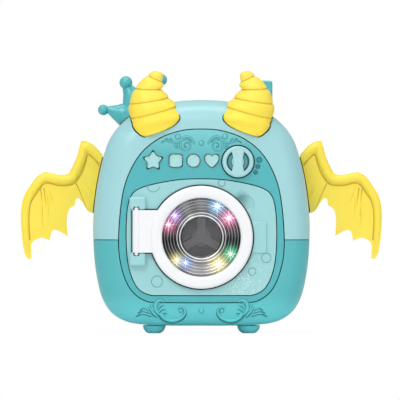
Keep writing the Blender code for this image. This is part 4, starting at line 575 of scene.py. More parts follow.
BUTTONS = (
    ("star_button", -41.0 * MM, star_line()),
    ("square_button", -21.7 * MM, square_line()),
    ("circle_button", -6.7 * MM, ring_line(5.65 * MM)),
    ("heart_button", 8.8 * MM,
     mirrored(HEART_SHARES, (12.4 * MM, 11.3 * MM, -5.65 * MM), 4)),
)
KNOB = (31.0 * MM, 145.9 * MM)
HOLE_SHARE, KNOB_WELL_R = 1.085, 14.3 * MM

# Painted light: the panel fades paler towards its top.
fascia_teal_painted_top_light = plastic("fascia_teal_painted_top_light", srgb(70, 176, 181),
                      fade=(srgb(122, 202, 206), 146 * MM, 176 * MM))
fascia = made(plate(grown(fascia_line, -0.15 * MM), FRONT_Y, FASCIA_BACK_Y), "control_panel",
              fascia_teal_painted_top_light)
carve(fascia, plate(grown(surround_line, 2.5 * MM), FASCIA_BACK_Y - 0.8 * MM,
                    PANEL_BACK_Y + 2.7 * MM), "UNION")
# Painted shade: the seam round the door panel is walled in near-black.
carve(fascia, plate(grown(surround_line, 0.65 * MM), CUT_Y, PANEL_BACK_Y + 0.3 * MM),
      mat=painted_seam_shadow)
carve(fascia, plate(grown(surround_line, -3.5 * MM), CUT_Y, PANEL_BACK_Y + 6 * MM))
# Painted shade: the button holes and the knob well are walled in near-black.
for name, x, line in BUTTONS:
    carve(fascia, plate(moved(line, x, BUTTON_Z, HOLE_SHARE), CUT_Y, FASCIA_BACK_Y + 2 * MM),
          mat=painted_seam_shadow)
carve(fascia, peg(KNOB_WELL_R, (KNOB[0], CUT_Y, KNOB[1]),
                  (KNOB[0], FRONT_Y + 0.8 * MM, KNOB[1]), 96), mat=painted_seam_shadow)
DIMPLES = ((49.1, 147.3, 2.35), (47.9, 141.8, 1.8), (46.0, 136.9, 1.65))
for x, z, radius in DIMPLES:
    carve(fascia, peg((radius + 0.2) * MM, (x * MM, CUT_Y, z * MM),
                      (x * MM, FRONT_Y + 1.8 * MM, z * MM), 48))
fit(fascia, "cabinet", "front_fascia", edge=0.3 * MM)


PIXEL = 0.85 * MM
PHOTO_CENTRE, PHOTO_FLOOR = 201.4, 333.4


def photo_point(px, py):
    """X and z in metres of a point read from the 400 pixel photograph."""
    return Vector(((px - PHOTO_CENTRE) * PIXEL, (PHOTO_FLOOR - py) * PIXEL))


def bowl(x, z, radius):
    """A shallow round cup let into the panel."""
    profile = [(0, 1.7), (radius + 0.15, 1.7), (radius + 0.15, 0.02), (radius + 0.55, 0.0),
               (radius + 0.55, -0.04), (radius + 0.1, -0.06)]
    profile += [(radius * math.cos(math.pi / 2 * i / 10),
                 1.4 * math.sin(math.pi / 2 * i / 10)) for i in range(11)]
    cup = spun(profile, (x * MM, z * MM), 48, False)
    bmesh.ops.translate(cup, vec=(0, FRONT_Y, 0), verts=cup.verts)
    return cup


def tube(path, sizes, sides=12, depth=1.0):
    """A round tube through points, with its own radius at each and closed ends."""
    line = bpy.data.curves.new("line", "CURVE")
    line.dimensions = "3D"
    line.bevel_depth = 1.0
    line.bevel_resolution = sides // 2 - 2
    line.use_fill_caps = True
    strand = line.splines.new("POLY")
    strand.points.add(len(path) - 1)
    for knot, place, size in zip(strand.points, path, sizes):
        knot.co = (*place, 1.0)
        knot.radius = size
    holder = bpy.data.objects.new("line", line)
    mesh = bpy.data.meshes.new_from_object(holder)
    bm = bmesh.new()
    bm.from_mesh(mesh)
    bpy.data.objects.remove(holder)
    bpy.data.curves.remove(line)
    bpy.data.meshes.remove(mesh)
    bmesh.ops.remove_doubles(bm, verts=bm.verts, dist=1e-7)
    bmesh.ops.scale(bm, vec=(1, depth, 1), verts=bm.verts,
                    space=Matrix.Translation((0, -path[0][1], 0)))
    bmesh.ops.recalc_face_normals(bm, faces=bm.faces)
    if bm.calc_volume(signed=True) < 0:
        bmesh.ops.reverse_faces(bm, faces=bm.faces)
    return bm


def gathered(shapes):
    """Several closed shapes as one bmesh."""
    whole = bmesh.new()
    for shape in shapes:
        mesh = bpy.data.meshes.new("shape")
        shape.to_mesh(mesh)
        shape.free()
        whole.from_mesh(mesh)
        bpy.data.meshes.remove(mesh)
    return whole


LINE_RISE, RIM_RISE, RIM_SPREAD = 0.75, 0.255, 1.5
THIN_END = 0.72


def vine(strokes, surface_y, rim=0.0):
    """Raised scroll lines on a surface, on both halves; a rim makes the flatter line round them."""
    shapes = []
    for points, thick, taper in strokes:
        path = smooth_loop([photo_point(*point) for point in points], 5, False)
        last = len(path) - 1
        if taper == "both":
            sizes = [thick * math.sin(math.pi * (0.08 + 0.84 * i / last)) ** 0.6
                     for i in range(last + 1)]
        else:
            sizes = [thick * (1 - THIN_END * i / last) for i in range(last + 1)]
        height = LINE_RISE
        if rim > 0:
            sizes = [RIM_SPREAD * (size + rim) for size in sizes]
            height = RIM_RISE
        for side in (1, -1):
            places = [(side * point.x, surface_y(point.x, point.y) + size * (1 - height) * MM,
                       point.y) for point, size in zip(path, sizes)]
            shapes.append(tube(places, [size * MM for size in sizes]))
    return shapes


TOP_SCROLL = (
    (((181.6, 140.4), (180.4, 143.8), (180.8, 147.4), (182.9, 149.8), (185.9, 150.5),
      (188.9, 149.2), (190.4, 146.5), (189.6, 143.8), (187.5, 142.5), (185.2, 143.3),
      (184.2, 145.4), (185.2, 147.2), (187.0, 146.6)), 0.80, "end"),
    (((180.6, 138.6), (183.4, 137.4), (187.0, 136.7), (190.6, 138.2), (193.0, 141.0),
      (194.9, 144.6)), 0.85, "both"),
    (((183.0, 140.6), (186.0, 139.2), (189.2, 140.2), (191.6, 142.8)), 0.45, "both"),
    (((179.4, 142.6), (175.4, 142.9), (171.2, 142.2), (166.6, 140.8), (163.6, 141.4),
      (161.4, 143.4)), 0.75, "end"),
    (((178.6, 144.8), (176.0, 145.8), (173.4, 144.9)), 0.60, "both"),
    (((179.4, 147.0), (177.2, 147.9), (174.8, 147.0)), 0.55, "both"),
    (((172.0, 141.6), (171.4, 139.4), (169.4, 138.8)), 0.60, "end"),
    (((168.6, 140.8), (167.0, 139.0), (165.2, 139.4)), 0.50, "end"),
)
TOP_BEADS = ((201.4, 143.2, 1.9, 1.9), (177.8, 136.8, 2.1, 2.1), (224.9, 136.8, 2.1, 2.1))


def bead(x, y, z, size, count=24):
    """A flattened ball."""
    ball = bmesh.new()
    bmesh.ops.create_uvsphere(ball, u_segments=count, v_segments=count // 2, radius=1.0)
    bmesh.ops.scale(ball, vec=size, verts=ball.verts)
    bmesh.ops.translate(ball, vec=(x, y, z), verts=ball.verts)
    return ball


def scrollwork(name, mat, strokes, beads, surface_y, bead_height, rim, rim_height):
    """Raised scroll lines and beads on a surface, and flatter dark lines round them that paint the
    shade along their edges.
    """
    for title, skin, line_rim, grow, height in (
            (name, mat, 0.0, 0.0, bead_height),
            (name + "_outline_shade", scroll_outline_shade, LINE_RIM, rim, rim_height)):
        shapes = vine(strokes, surface_y, line_rim)
        for px, py, half_width, half_height in beads:
            x, z = photo_point(px, py)
            shapes.append(bead(x, surface_y(x, z), z, ((half_width + grow) * MM, height * MM,
                                                       (half_height + grow) * MM)))
        fit(made(gathered(shapes), title, skin), "cabinet", slot="dark_teal", angle=60)


LINE_RIM = 0.35
# Painted shade: the cups are a darker teal than the panel round them.
dimple_painted_shade = plastic("dimple_painted_shade", srgb(44, 140, 146), gloss=0.12, coat=0.6)
scroll_teal = plastic("scroll_teal", srgb(98, 192, 195), gloss=0.22, coat=0.3)
# Painted shade: a darker teal for the flat lines round the scrolls.
scroll_outline_shade = plastic("scroll_outline_shade", srgb(44, 136, 142), gloss=0.5)
fit(made(gathered([bowl(*dimple) for dimple in DIMPLES]), "panel_dimples", dimple_painted_shade),
    "cabinet", slot="dark_teal", angle=50)
scrollwork("panel_scroll", scroll_teal, TOP_SCROLL, TOP_BEADS, lambda x, z: FRONT_Y, 1.3, 0.45,
           0.3)

# The base shell carries the larger scroll, which follows its rolled lower edge.
body_line = mirrored(BODY_SHARES, BODY, 6)


def line_distance(point, start, end):
    """Distance from a point to a short line."""
    along = end - start
    share = max(0.0, min(1.0, (point - start).dot(along) / along.length_squared))
    return (point - start - along * share).length


def casing_front_y(x, z):
    """Where the casing's front surface lies over a point in x and z."""
    rim = min(line_distance(Vector((x, z)), body_line[i - 1], body_line[i])
              for i in range(len(body_line)))
    if rim >= EDGE_R:
        return FRONT_Y
    return FRONT_Y + EDGE_R - math.sqrt(EDGE_R ** 2 - (EDGE_R - rim) ** 2)


BOTTOM_SCROLL = (
    (((160.5, 312.2), (163.3, 316.6), (167.9, 319.4), (172.8, 320.2), (178.1, 319.2),
      (182.7, 316.4), (185.1, 312.4), (184.2, 308.4), (181.0, 306.8), (178.0, 308.6)), 2.1, "end"),
    (((161.4, 316.6), (157.2, 311.6), (155.2, 306.4), (157.0, 301.8), (160.6, 299.9),
      (164.2, 301.4)), 1.60, "both"),
    (((157.8, 308.6), (160.6, 304.8), (164.6, 304.2)), 1.10, "both"),
    (((158.6, 311.6), (162.0, 308.2), (166.2, 308.4)), 1.10, "both"),
    (((160.4, 314.4), (164.2, 311.6), (167.8, 312.6)), 1.05, "both"),
    (((157.8, 316.8), (153.4, 312.4), (149.2, 306.2)), 1.15, "both"),
    (((155.4, 311.6), (152.2, 307.4), (151.0, 303.4)), 0.85, "both"),
    (((151.4, 315.0), (142.6, 313.2), (136.0, 316.2)), 0.85, "end"),
    (((150.6, 312.4), (143.4, 310.6), (137.8, 312.8)), 0.75, "end"),
    (((149.0, 309.8), (144.2, 307.8), (140.0, 310.2)), 0.65, "end"),
)
BASE_BEADS = ((180.9, 310.4, 1.5, 1.5), (221.9, 310.4, 1.5, 1.5), (201.4, 309.4, 1.8, 2.9))
scrollwork("base_relief", base_teal_painted_low_light, BOTTOM_SCROLL, BASE_BEADS, casing_front_y, 1.2, 0.4, 0.35)


# Panel round the door.
# Light teal ABS with the loading mouth, two hinge ears, a latch boss and thin raised circles like
# soap bubbles; a few fine sparkles are moulded in near its lower right corner.

def flecks_and_painted_shadow(tree, colour):
    """Fine pale flecks round one corner of the panel, and a painted shadow beside the scoop."""
    place = own_place(tree)

    def near(centre, low, high):
        """One at a centre, falling to nothing between two distances."""
        gap = node(tree, "ShaderNodeVectorMath", place, centre, operation="DISTANCE")
        return math_node(tree, "SUBTRACT", 1.0, ramp(tree, gap.outputs["Value"], low, high))

    flecks = node(tree, "ShaderNodeTexVoronoi", place, Scale=700.0)
    spot = math_node(tree, "LESS_THAN", flecks.outputs["Distance"], 0.28)
    spot = math_node(tree, "MULTIPLY", spot, near((34 * MM, PANEL_Y, 44 * MM), 6 * MM, 30 * MM))
    colour = mix_colours(tree, math_node(tree, "MULTIPLY", spot, 0.75), colour,
                         (0.86, 0.93, 0.90, 1))
    # Painted shadow: a dark teal patch beside the ring's upper right, over the scoop.
    shadow = near((34 * MM, PANEL_Y, 114.5 * MM), 0.5 * MM, 8 * MM)
    return mix_colours(tree, math_node(tree, "MULTIPLY", shadow, 0.75), colour, srgb(64, 124, 122))


MOUTH_R, THROAT_R, COLLAR_R, DOOR_SEAT_R = 31 * MM, 29 * MM, 33 * MM, 44.85 * MM
HINGE = (-55.1 * MM, -52.7 * MM)
EAR_LEFT, EAR_RIGHT, EAR_HEIGHT = 6.0 * MM, 7.9 * MM, 6.3 * MM
EAR_ENDS = ((57.3, 68.5), (105.1, 116.3))
SCOOP = (36.5 * MM, PANEL_Y - 1.2 * MM, 110 * MM)
SCOOP_SIZE = (9.5 * MM, 3.4 * MM, 8.5 * MM)
panel_teal = plastic("panel_teal", srgb(155, 209, 210), shade=flecks_and_painted_shadow)
panel = made(plate(grown(surround_line, -0.15 * MM), PANEL_Y, PANEL_BACK_Y), "door_panel",
             panel_teal)
carve(panel, peg(COLLAR_R, (0, PANEL_BACK_Y - 0.8 * MM, DOOR_Z), (0, -40.6 * MM, DOOR_Z), 96),
      "UNION")
carve(panel, brick((40 * MM, PANEL_Y - 1.6 * MM, 68.35 * MM),
                   (55.4 * MM, PANEL_Y + 0.8 * MM, 95.25 * MM), 1.2 * MM, 4), "UNION")
carve(panel, peg(DOOR_SEAT_R, (0, PANEL_Y - 4 * MM, DOOR_Z), (0, PANEL_Y + 0.05 * MM, DOOR_Z), 160))
for low_z, high_z in EAR_ENDS:
    ear = brick((HINGE[0] - EAR_LEFT, PANEL_Y - EAR_HEIGHT, low_z * MM),
                (HINGE[0] + EAR_RIGHT, PANEL_Y + 0.8 * MM, high_z * MM), 2.2 * MM, 5)
    carve(panel, ear, "UNION")
carve(panel, bead(*SCOOP, SCOOP_SIZE, 64))
carve(panel, peg(MOUTH_R, (0, PANEL_Y - 2 * MM, DOOR_Z), (0, -42 * MM, DOOR_Z), 96))
carve(panel, peg(THROAT_R, (0, PANEL_Y - 2 * MM, DOOR_Z), (0, -38 * MM, DOOR_Z), 96))
# Painted shade: the hinge slot and the latch slot are walled in near-black.
carve(panel, peg(3.1 * MM, (*HINGE, 65.9 * MM), (*HINGE, 107.7 * MM)), mat=painted_seam_shadow)
hinge_shade = plastic("hinge_shade", srgb(64, 112, 114), gloss=0.7, coat=0.0)
carve(panel, brick((-59.8 * MM, PANEL_Y - 1 * MM, 69.2 * MM),
                   (-50 * MM, PANEL_Y + 0.5 * MM, 104.4 * MM)), mat=hinge_shade)
carve(panel, brick((36.6 * MM, PANEL_Y - 2 * MM, 77.1 * MM), (40.4 * MM, -44 * MM, 86.5 * MM)),
      mat=painted_seam_shadow)
fit(panel, "cabinet", "door_surround", edge=0.25 * MM)

BUBBLES = (
    (153.5, 185.5, 6.3, 176, 352), (221.6, 183.1, 3.3, 118, 400), (266.1, 257.7, 4.7, 0, 360),
    (252.1, 271.4, 3.7, 0, 360), (157.0, 281.4, 5.5, 0, 360),
)
BUBBLE_POINTS = 48
shapes = []
for px, py, radius, start, end in BUBBLES:
    path = []
    for i in range(BUBBLE_POINTS):
        angle = math.radians(start + (end - start) * i / BUBBLE_POINTS)
        x, z = photo_point(px + radius * math.cos(angle), py - radius * math.sin(angle))
        path.append((x, PANEL_Y + 0.05 * MM, z))
    shapes.append(tube(path, [0.34 * MM] * BUBBLE_POINTS, 8))
# Painted shade: the raised rings are a darker teal than the panel they stand on.
bubble_ring_shade = plastic("bubble_ring_shade", srgb(98, 162, 166))
fit(made(gathered(shapes), "bubble_outlines", bubble_ring_shade), "cabinet", slot="light_teal", angle=60)


# Door.
# White ring that swings on a barrel hinge, with a thin dark seal behind it, made wide enough to
# paint the shadow line round the ring and its arm.
# A stepped, half mirror plated bezel sits in the ring and a clear smoky lens in the bezel.

door_white = plastic("door_white", srgb(240, 240, 241), gloss=0.28, flow=0.015, coat=0.2)
seal_and_painted_shadow = plastic("seal_and_painted_shadow", srgb(14, 20, 22), gloss=0.7, coat=0.0)
DOOR_BACK_Y = -49.1 * MM
BARREL_R, BARREL_LOW, BARREL_HIGH = 3.3 * MM, 68.8 * MM, 104.8 * MM
TRUNNION_R, PIN_BORE_R = 1.85 * MM, 1.2 * MM
ring_profile = [(35.0, -49.1), (43.65, -49.1)]
for i in range(7):
    turn = math.pi / 2 * i / 6
    ring_profile.append((41.05 + 2.6 * math.cos(turn), -53.4 - 2.6 * math.sin(turn)))
ring_profile += [(38.6, -56.0), (37.0, -55.9), (35.6, -55.5)]
for i in range(1, 6):
    turn = math.pi / 2 * i / 5
    ring_profile.append((35.6 - 2.3 * math.sin(turn), -52.9 - 2.6 * math.cos(turn)))
ring_profile += [(33.3, -52.7), (35.0, -52.7)]
ring = made(spun(ring_profile, (0, DOOR_Z), 160), "door_ring_white", door_white)
for form in (brick((HINGE[0], HINGE[1] - 2.1 * MM, BARREL_LOW),
                   (-36.5 * MM, DOOR_BACK_Y, BARREL_HIGH)),
             peg(BARREL_R, (*HINGE, BARREL_LOW), (*HINGE, BARREL_HIGH), 40),
             peg(TRUNNION_R, (*HINGE, 66.6 * MM), (*HINGE, 107.0 * MM), 32),
             brick((37.3 * MM, DOOR_BACK_Y - 0.8 * MM, 77.8 * MM),
                   (39.7 * MM, DOOR_BACK_Y + 3 * MM, 85.8 * MM))):
    carve(ring, form, "UNION")
carve(ring, peg(PIN_BORE_R, (*HINGE, 60 * MM), (*HINGE, 110 * MM), 24))
fit(ring, "door", "door_ring", edge=0.4 * MM, segments=3)
# Painted shadow: the dark seal stands out past the ring, and a dark plate under the hinge arm
# carries it on.
SEAL_FRONT, SEAL_BACK, SEAL_IN_R, SEAL_OUT_R = -49.5, -48.95, 42.5, 44.7
seal_profile = [(SEAL_IN_R, SEAL_FRONT), (SEAL_OUT_R, SEAL_FRONT), (SEAL_OUT_R, SEAL_BACK),
                (SEAL_IN_R, SEAL_BACK)]
seal = made(spun(seal_profile, (0, DOOR_Z), 160), "door_seal", seal_and_painted_shadow)
carve(seal, brick((-51 * MM, SEAL_FRONT * MM, 67.8 * MM), (-38 * MM, SEAL_BACK * MM, 105.8 * MM)),
      "UNION")
fit(seal, "door", slot="black")

# Painted glints: coloured stars of light glow in the plating's emission, though no lamp is there.
PAINTED_GLINTS = (
    (159, 30.0, 3.9, (1.0, 0.12, 0.40)), (141, 29.0, 3.4, (0.42, 0.16, 0.80)),
    (63, 29.5, 4.5, (0.10, 0.52, 0.95)), (35, 28.5, 4.6, (1.0, 0.16, 0.46)),
    (-30, 28.5, 4.0, (0.06, 0.80, 0.38)), (-57, 27.0, 5.0, (0.98, 0.88, 0.20)),
    (223, 28.5, 3.8, (0.98, 0.90, 0.28)), (238, 25.5, 3.2, (0.14, 0.36, 1.0)),
)
painted_star_group, way_in, way_out = new_group(
    "painted_star_glint",
    [("Place", "NodeSocketVector", None), ("Centre", "NodeSocketVector", None),
     ("Size", "NodeSocketFloat", 0.002)],
    [("Core", "NodeSocketFloat"), ("Halo", "NodeSocketFloat")])
offset = node(painted_star_group, "ShaderNodeVectorMath", way_in.outputs["Place"],
              way_in.outputs["Centre"], operation="SUBTRACT")
parts = node(painted_star_group, "ShaderNodeSeparateXYZ", offset.outputs[0]).outputs
across = math_node(painted_star_group, "DIVIDE", parts["X"], way_in.outputs["Size"])
upward = math_node(painted_star_group, "DIVIDE", parts["Z"], way_in.outputs["Size"])
plus = math_node(painted_star_group, "MULTIPLY", math_node(painted_star_group, "ADD", across, upward), 0.707)
minus = math_node(painted_star_group, "MULTIPLY", math_node(painted_star_group, "SUBTRACT", across, upward), 0.707)
x2, z2, p2, m2 = (math_node(painted_star_group, "MULTIPLY", length, length)
                  for length in (across, upward, plus, minus))


def ray(long_sq, cross_sq, reach, thin):
    """One thin beam of a painted star glint."""
    spread = math_node(painted_star_group, "ADD", math_node(painted_star_group, "DIVIDE", long_sq, reach ** 2),
                       math_node(painted_star_group, "DIVIDE", cross_sq, thin ** 2))
    return math_node(painted_star_group, "EXPONENT", math_node(painted_star_group, "MULTIPLY", spread, -1.0))


total = math_node(painted_star_group, "ADD", x2, z2)
core = math_node(painted_star_group, "EXPONENT", math_node(painted_star_group, "MULTIPLY", total, -18.0))
painted_halo = math_node(painted_star_group, "EXPONENT", math_node(painted_star_group, "MULTIPLY", total, -0.55))
beams = ray(x2, z2, 1.2, 0.09)
for beam in (ray(z2, x2, 1.2, 0.09), ray(p2, m2, 0.8, 0.10), ray(m2, p2, 0.8, 0.10)):
    beams = math_node(painted_star_group, "MAXIMUM", beams, beam)
feed(painted_star_group, way_out, Core=math_node(painted_star_group, "ADD", core, beams, True), Halo=painted_halo)


def plating(name, base, gloss, depth, metallic=1.0):
    """Half mirror plating with turned rings, painted reflections darker and lighter round the
    clock, and painted glowing star glints.
    """
    mat, tree, shader = new_surface(name)
    place = own_place(tree)
    centred = node(tree, "ShaderNodeVectorMath", place, (0, 0, DOOR_Z), operation="SUBTRACT")
    parts = node(tree, "ShaderNodeSeparateXYZ", centred.outputs[0]).outputs
    radius = math_node(tree, "SQRT", math_node(
        tree, "ADD", *(math_node(tree, "MULTIPLY", parts[key], parts[key]) for key in "XZ")))
    angle = math_node(tree, "ARCTAN2", parts["Z"], parts["X"])
    rings_and_painted_reflections = 0.0
    # Painted reflections: the base darkens and lightens round the clock, and the fine turned rings
    # alternate pale and dark.
    for kind, source, turns, size in (("COSINE", angle, 2.0, -0.34), ("SINE", angle, 3.0, 0.16),
                                      ("SINE", angle, 13.0, 0.09), ("SINE", radius, 4300.0, 0.24)):
        wave = math_node(tree, kind, math_node(tree, "MULTIPLY", source, turns))
        rings_and_painted_reflections = math_node(tree, "ADD", rings_and_painted_reflections, math_node(tree, "MULTIPLY", wave, size))
    dark = tuple(c * depth for c in base[:3]) + (1,)
    haze = node(tree, "ShaderNodeTexNoise", place, Scale=300.0, Detail=3.0)
    rough = math_node(tree, "ADD", math_node(tree, "MULTIPLY", haze.outputs["Fac"], 0.12), gloss)
    painted_glint_streaks = math_node(tree, "ADD", math_node(tree, "MULTIPLY", wave, 0.30), 0.80)
    light = (0.0, 0.0, 0.0, 1.0)
    for degrees, reach, size, colour in PAINTED_GLINTS:
        turn = math.radians(degrees)
        centre = (reach * MM * math.cos(turn), 0, reach * MM * math.sin(turn))
        spot = node(tree, "ShaderNodeGroup", node_tree=painted_star_group, Place=centred.outputs[0],
                    Centre=centre, Size=size * MM)
        painted_halo = math_node(tree, "MULTIPLY", spot.outputs["Halo"], painted_glint_streaks, True)
        light = mix_colours(tree, painted_halo, light, (*colour, 1))
        light = mix_colours(tree, spot.outputs["Core"], light, (1, 1, 1, 1))
    # Painted glow: the star glints are emission, though the plating is no lamp.
    feed(tree, shader, Base_Color=mix_colours(tree, ramp(tree, rings_and_painted_reflections, -0.24, 0.58), dark, base),
         Roughness=rough, Metallic=metallic, Emission_Color=light, Emission_Strength=1.0)
    return mat


chrome = plating("bezel_plating", (0.30, 0.29, 0.30, 1), 0.14, 0.04)
rim_painted_highlight = plating("rim_plating_painted_highlight", (0.95, 0.95, 0.96, 1), 0.08, 0.55, 0.7)
bezel_profile = [
    (34.7, -52.4), (34.7, -51.2), (31.0, -50.0), (18.7, -46.3), (18.7, -44.75), (16.5, -44.75),
    (16.5, -46.0), (17.5, -46.0), (17.5, -49.0), (18.0, -49.7), (18.9, -49.7), (19.3, -49.1),
    (20.0, -49.1), (20.4, -50.0), (21.2, -50.2), (21.7, -49.7), (23.4, -49.9), (23.9, -50.6),
    (24.5, -50.5), (25.9, -50.6), (26.4, -51.3), (27.0, -51.2), (28.4, -51.3), (28.9, -52.0),
    (29.5, -51.9), (30.9, -52.0), (31.5, -52.8), (32.3, -52.9), (33.0, -52.4),
]
bezel = made(spun(bezel_profile, (0, DOOR_Z), 144), "plated_bezel", chrome, rim_painted_highlight)
# Painted highlight: the faces of the raised rims take a much paler copy of the plating.
RIMS = ((17.4, 18.7), (20.0, 21.0), (23.5, 23.8), (26.0, 26.3), (28.5, 28.8), (31.0, 31.35))
for face in bezel.data.polygons:
    reach = math.hypot(face.center.x, face.center.z - DOOR_Z) / MM
    if face.center.y < -48 * MM and any(low < reach < high for low, high in RIMS):
        face.material_index = 1
fit(bezel, "door", "chrome_bezel", edge=0.12 * MM)

lens_mat, tree, shader = new_surface("smoky_lens")
skin = node(tree, "ShaderNodeGroup", node_tree=moulded, Colour=srgb(120, 118, 120), Gloss=0.03)
feed(tree, shader, Base_Color=skin.outputs["Colour"], Roughness=skin.outputs["Roughness"],
     Alpha=0.20)
lens_profile = [(0, -46.25), (17.2, -46.25), (17.2, -47.85)]
for i in range(9):
    share = 1 - i / 8
    lens_profile.append((17.0 * share, -47.9 - 1.5 * (1 - share ** 2)))
lens = made(spun(lens_profile, (0, DOOR_Z), 96, False), "window_lens", lens_mat)
fit(lens, "door", "door_lens", angle=40)


# Hinge pin, case screws and the other plated steel.
# Turned or headed steel with a bright zinc plating, finely drawn along its length.

def metal(name, base, gloss, scale):
    """Plated or bare metal with fine drawn lines and faint stains."""
    mat, tree, shader = new_surface(name)
    drawn = node(tree, "ShaderNodeMapping", own_place(tree), Scale=(1.0, 0.06, 1.0))
    lines = node(tree, "ShaderNodeTexNoise", drawn.outputs[0], Scale=scale, Detail=3.0)
    stains = node(tree, "ShaderNodeTexNoise", own_place(tree), Scale=160.0, Detail=4.0)
    dull = tuple(c * 0.7 for c in base[:3]) + (1,)
    bump = node(tree, "ShaderNodeBump", Strength=0.2, Distance=0.03 * MM,
                Height=lines.outputs["Fac"])
    rough = math_node(tree, "ADD", math_node(tree, "MULTIPLY", lines.outputs["Fac"], 0.2), gloss)
    feed(tree, shader, Roughness=rough, Normal=bump.outputs["Normal"], Metallic=1.0,
         Base_Color=mix_colours(tree, ramp(tree, stains.outputs["Fac"], 0.35, 0.7), base, dull))
    return mat


def dress(nodes, mat, edge=0.0):
    """Give CAD pieces a finish, and softly broken edges where an edge width is given."""
    for name in nodes:
        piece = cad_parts[name]
        piece.data.materials.clear()
        piece.data.materials.append(mat)
        if edge > 0:
            piece.modifiers.new("weld", "WELD").merge_threshold = 0.01 * MM
            soften(piece, edge, 40)


plated_steel = metal("plated_steel", (0.62, 0.62, 0.60, 1), 0.18, 900.0)
dress(["hinge_pin", "drum_shaft", "contacts_left", "contacts_right", "motor", "battery_door_screw"]
      + ["case_screw_%d" % i for i in range(1, 5)] + ["tub_screw_%d" % i for i in range(1, 5)],
      plated_steel)
turned_brass = metal("turned_brass", (0.62, 0.46, 0.19, 1), 0.2, 1200.0)
dress(["shaft_bush", "motor_pinion"], turned_brass)


# Drum, pulsator and tub.
# A dark grey drum with a three armed grey pulsator turns in a fixed tub of undyed plastic, on a
# steel shaft with a large gear behind.

DRUM_WALL_R = 32.2 * MM
HOLES_ROUND, HOLES_ALONG, HOLE_LIMIT = 20.0, 1100.0, 0.72


def drum_holes(tree, colour):
    """Rows of small dark holes round the drum."""
    x, y, z = own_parts(tree)
    z = math_node(tree, "SUBTRACT", z, DOOR_Z)
    around = math_node(tree, "MULTIPLY", math_node(tree, "ARCTAN2", z, x),
                       HOLES_ROUND)
    along = math_node(tree, "MULTIPLY", y, HOLES_ALONG)
    dots = math_node(tree, "MULTIPLY", math_node(tree, "SINE", around),
                     math_node(tree, "SINE", along))
    reach = math_node(tree, "SQRT", math_node(tree, "ADD", math_node(tree, "MULTIPLY", z, z),
                                              math_node(tree, "MULTIPLY", x, x)))
    wall = math_node(tree, "GREATER_THAN", reach, DRUM_WALL_R)
    hole = math_node(tree, "MULTIPLY", math_node(tree, "GREATER_THAN", dots, HOLE_LIMIT),
                     wall)
    return mix_colours(tree, hole, colour, (0.01, 0.01, 0.01, 1))


drum_grey = plastic("drum_grey", srgb(146, 143, 147), gloss=0.4, shade=drum_holes)
pulsator_grey = plastic("pulsator_grey", srgb(242, 242, 244), gloss=0.4)
drum_profile = [
    (34, -39.5), (34, 4.5), (2.8, 4.5), (2.8, 3.0), (30.5, 3.0), (31.9, 2.4), (32.5, 1.0),
    (32.5, -37.2), (31.6, -38.0), (27.0, -38.0), (26.5, -38.4), (26.5, -39.1), (26.9, -39.5),
]
drum = made(spun(drum_profile, (0, DOOR_Z), 96), "wash_drum", drum_grey)
fit(drum, "drum", "drum", edge=0.2 * MM)

pulsator_profile = [(0, -2.3), (3.0, -2.2), (6.0, -1.4), (8.2, 0.6), (8.6, 2.7), (0, 2.7)]
pulsator = made(spun(pulsator_profile, (0, DOOR_Z), 64, False), "pulsator_star", pulsator_grey)
ARM_TAPER = 0.86
for degrees in (90, 210, 330):
    arm = brick((0.5 * MM, -1.9 * MM, -3.9 * MM), (24.9 * MM, 2.65 * MM, 3.9 * MM))
    for vert in arm.verts:
        if vert.co.y < 0:
            vert.co.z *= ARM_TAPER
    bmesh.ops.rotate(arm, cent=(0, 0, 0), matrix=Matrix.Rotation(-math.radians(degrees), 3, "Y"),
                     verts=arm.verts)
    bmesh.ops.translate(arm, vec=(0, 0, DOOR_Z), verts=arm.verts)
    carve(pulsator, arm, "UNION")
carve(pulsator, peg(2.6 * MM, (0, 0.2 * MM, DOOR_Z), (0, 6 * MM, DOOR_Z), 24))
fit(pulsator, "drum", "drum_pulsator", edge=0.5 * MM, segments=3)

natural = plastic("natural_plastic", srgb(222, 219, 208), gloss=0.42, coat=0.0)
dress(["drum_tub", "drum_gear", "motor_bracket", "led_ring"], natural)


# Push buttons.
# Four light teal caps with a raised rim, each in its own hole, that press a switch behind.

CAP_SHARE, DISH_SHARE, FLANGE_R, STEM_R = 0.905, 0.74, 7.2 * MM, 2.0 * MM
OPEN_Y, CAP_FRONT_Y, DISH_Y, CAP_BACK_Y = -52 * MM, -50.35 * MM, -50.05 * MM, -45.0 * MM
button_teal = plastic("button_teal", srgb(164, 214, 213), gloss=0.26, coat=0.25)
for name, x, line in BUTTONS:
    cap = made(plate(moved(line, x, BUTTON_Z, CAP_SHARE), CAP_FRONT_Y, CAP_BACK_Y), name + "_cap",
               button_teal)
    carve(cap, plate(moved(line, x, BUTTON_Z, DISH_SHARE), OPEN_Y, DISH_Y))
    carve(cap, peg(FLANGE_R, (x, -45.3 * MM, BUTTON_Z), (x, -44.3 * MM, BUTTON_Z), 40), "UNION")
    carve(cap, peg(STEM_R, (x, -44.8 * MM, BUTTON_Z), (x, -41.1 * MM, BUTTON_Z), 24), "UNION")
    fit(cap, name, name, edge=0.14 * MM)


# Program knob.
# Light teal ring with a waisted grip bar across it; dark teal crescents with ridges show between.

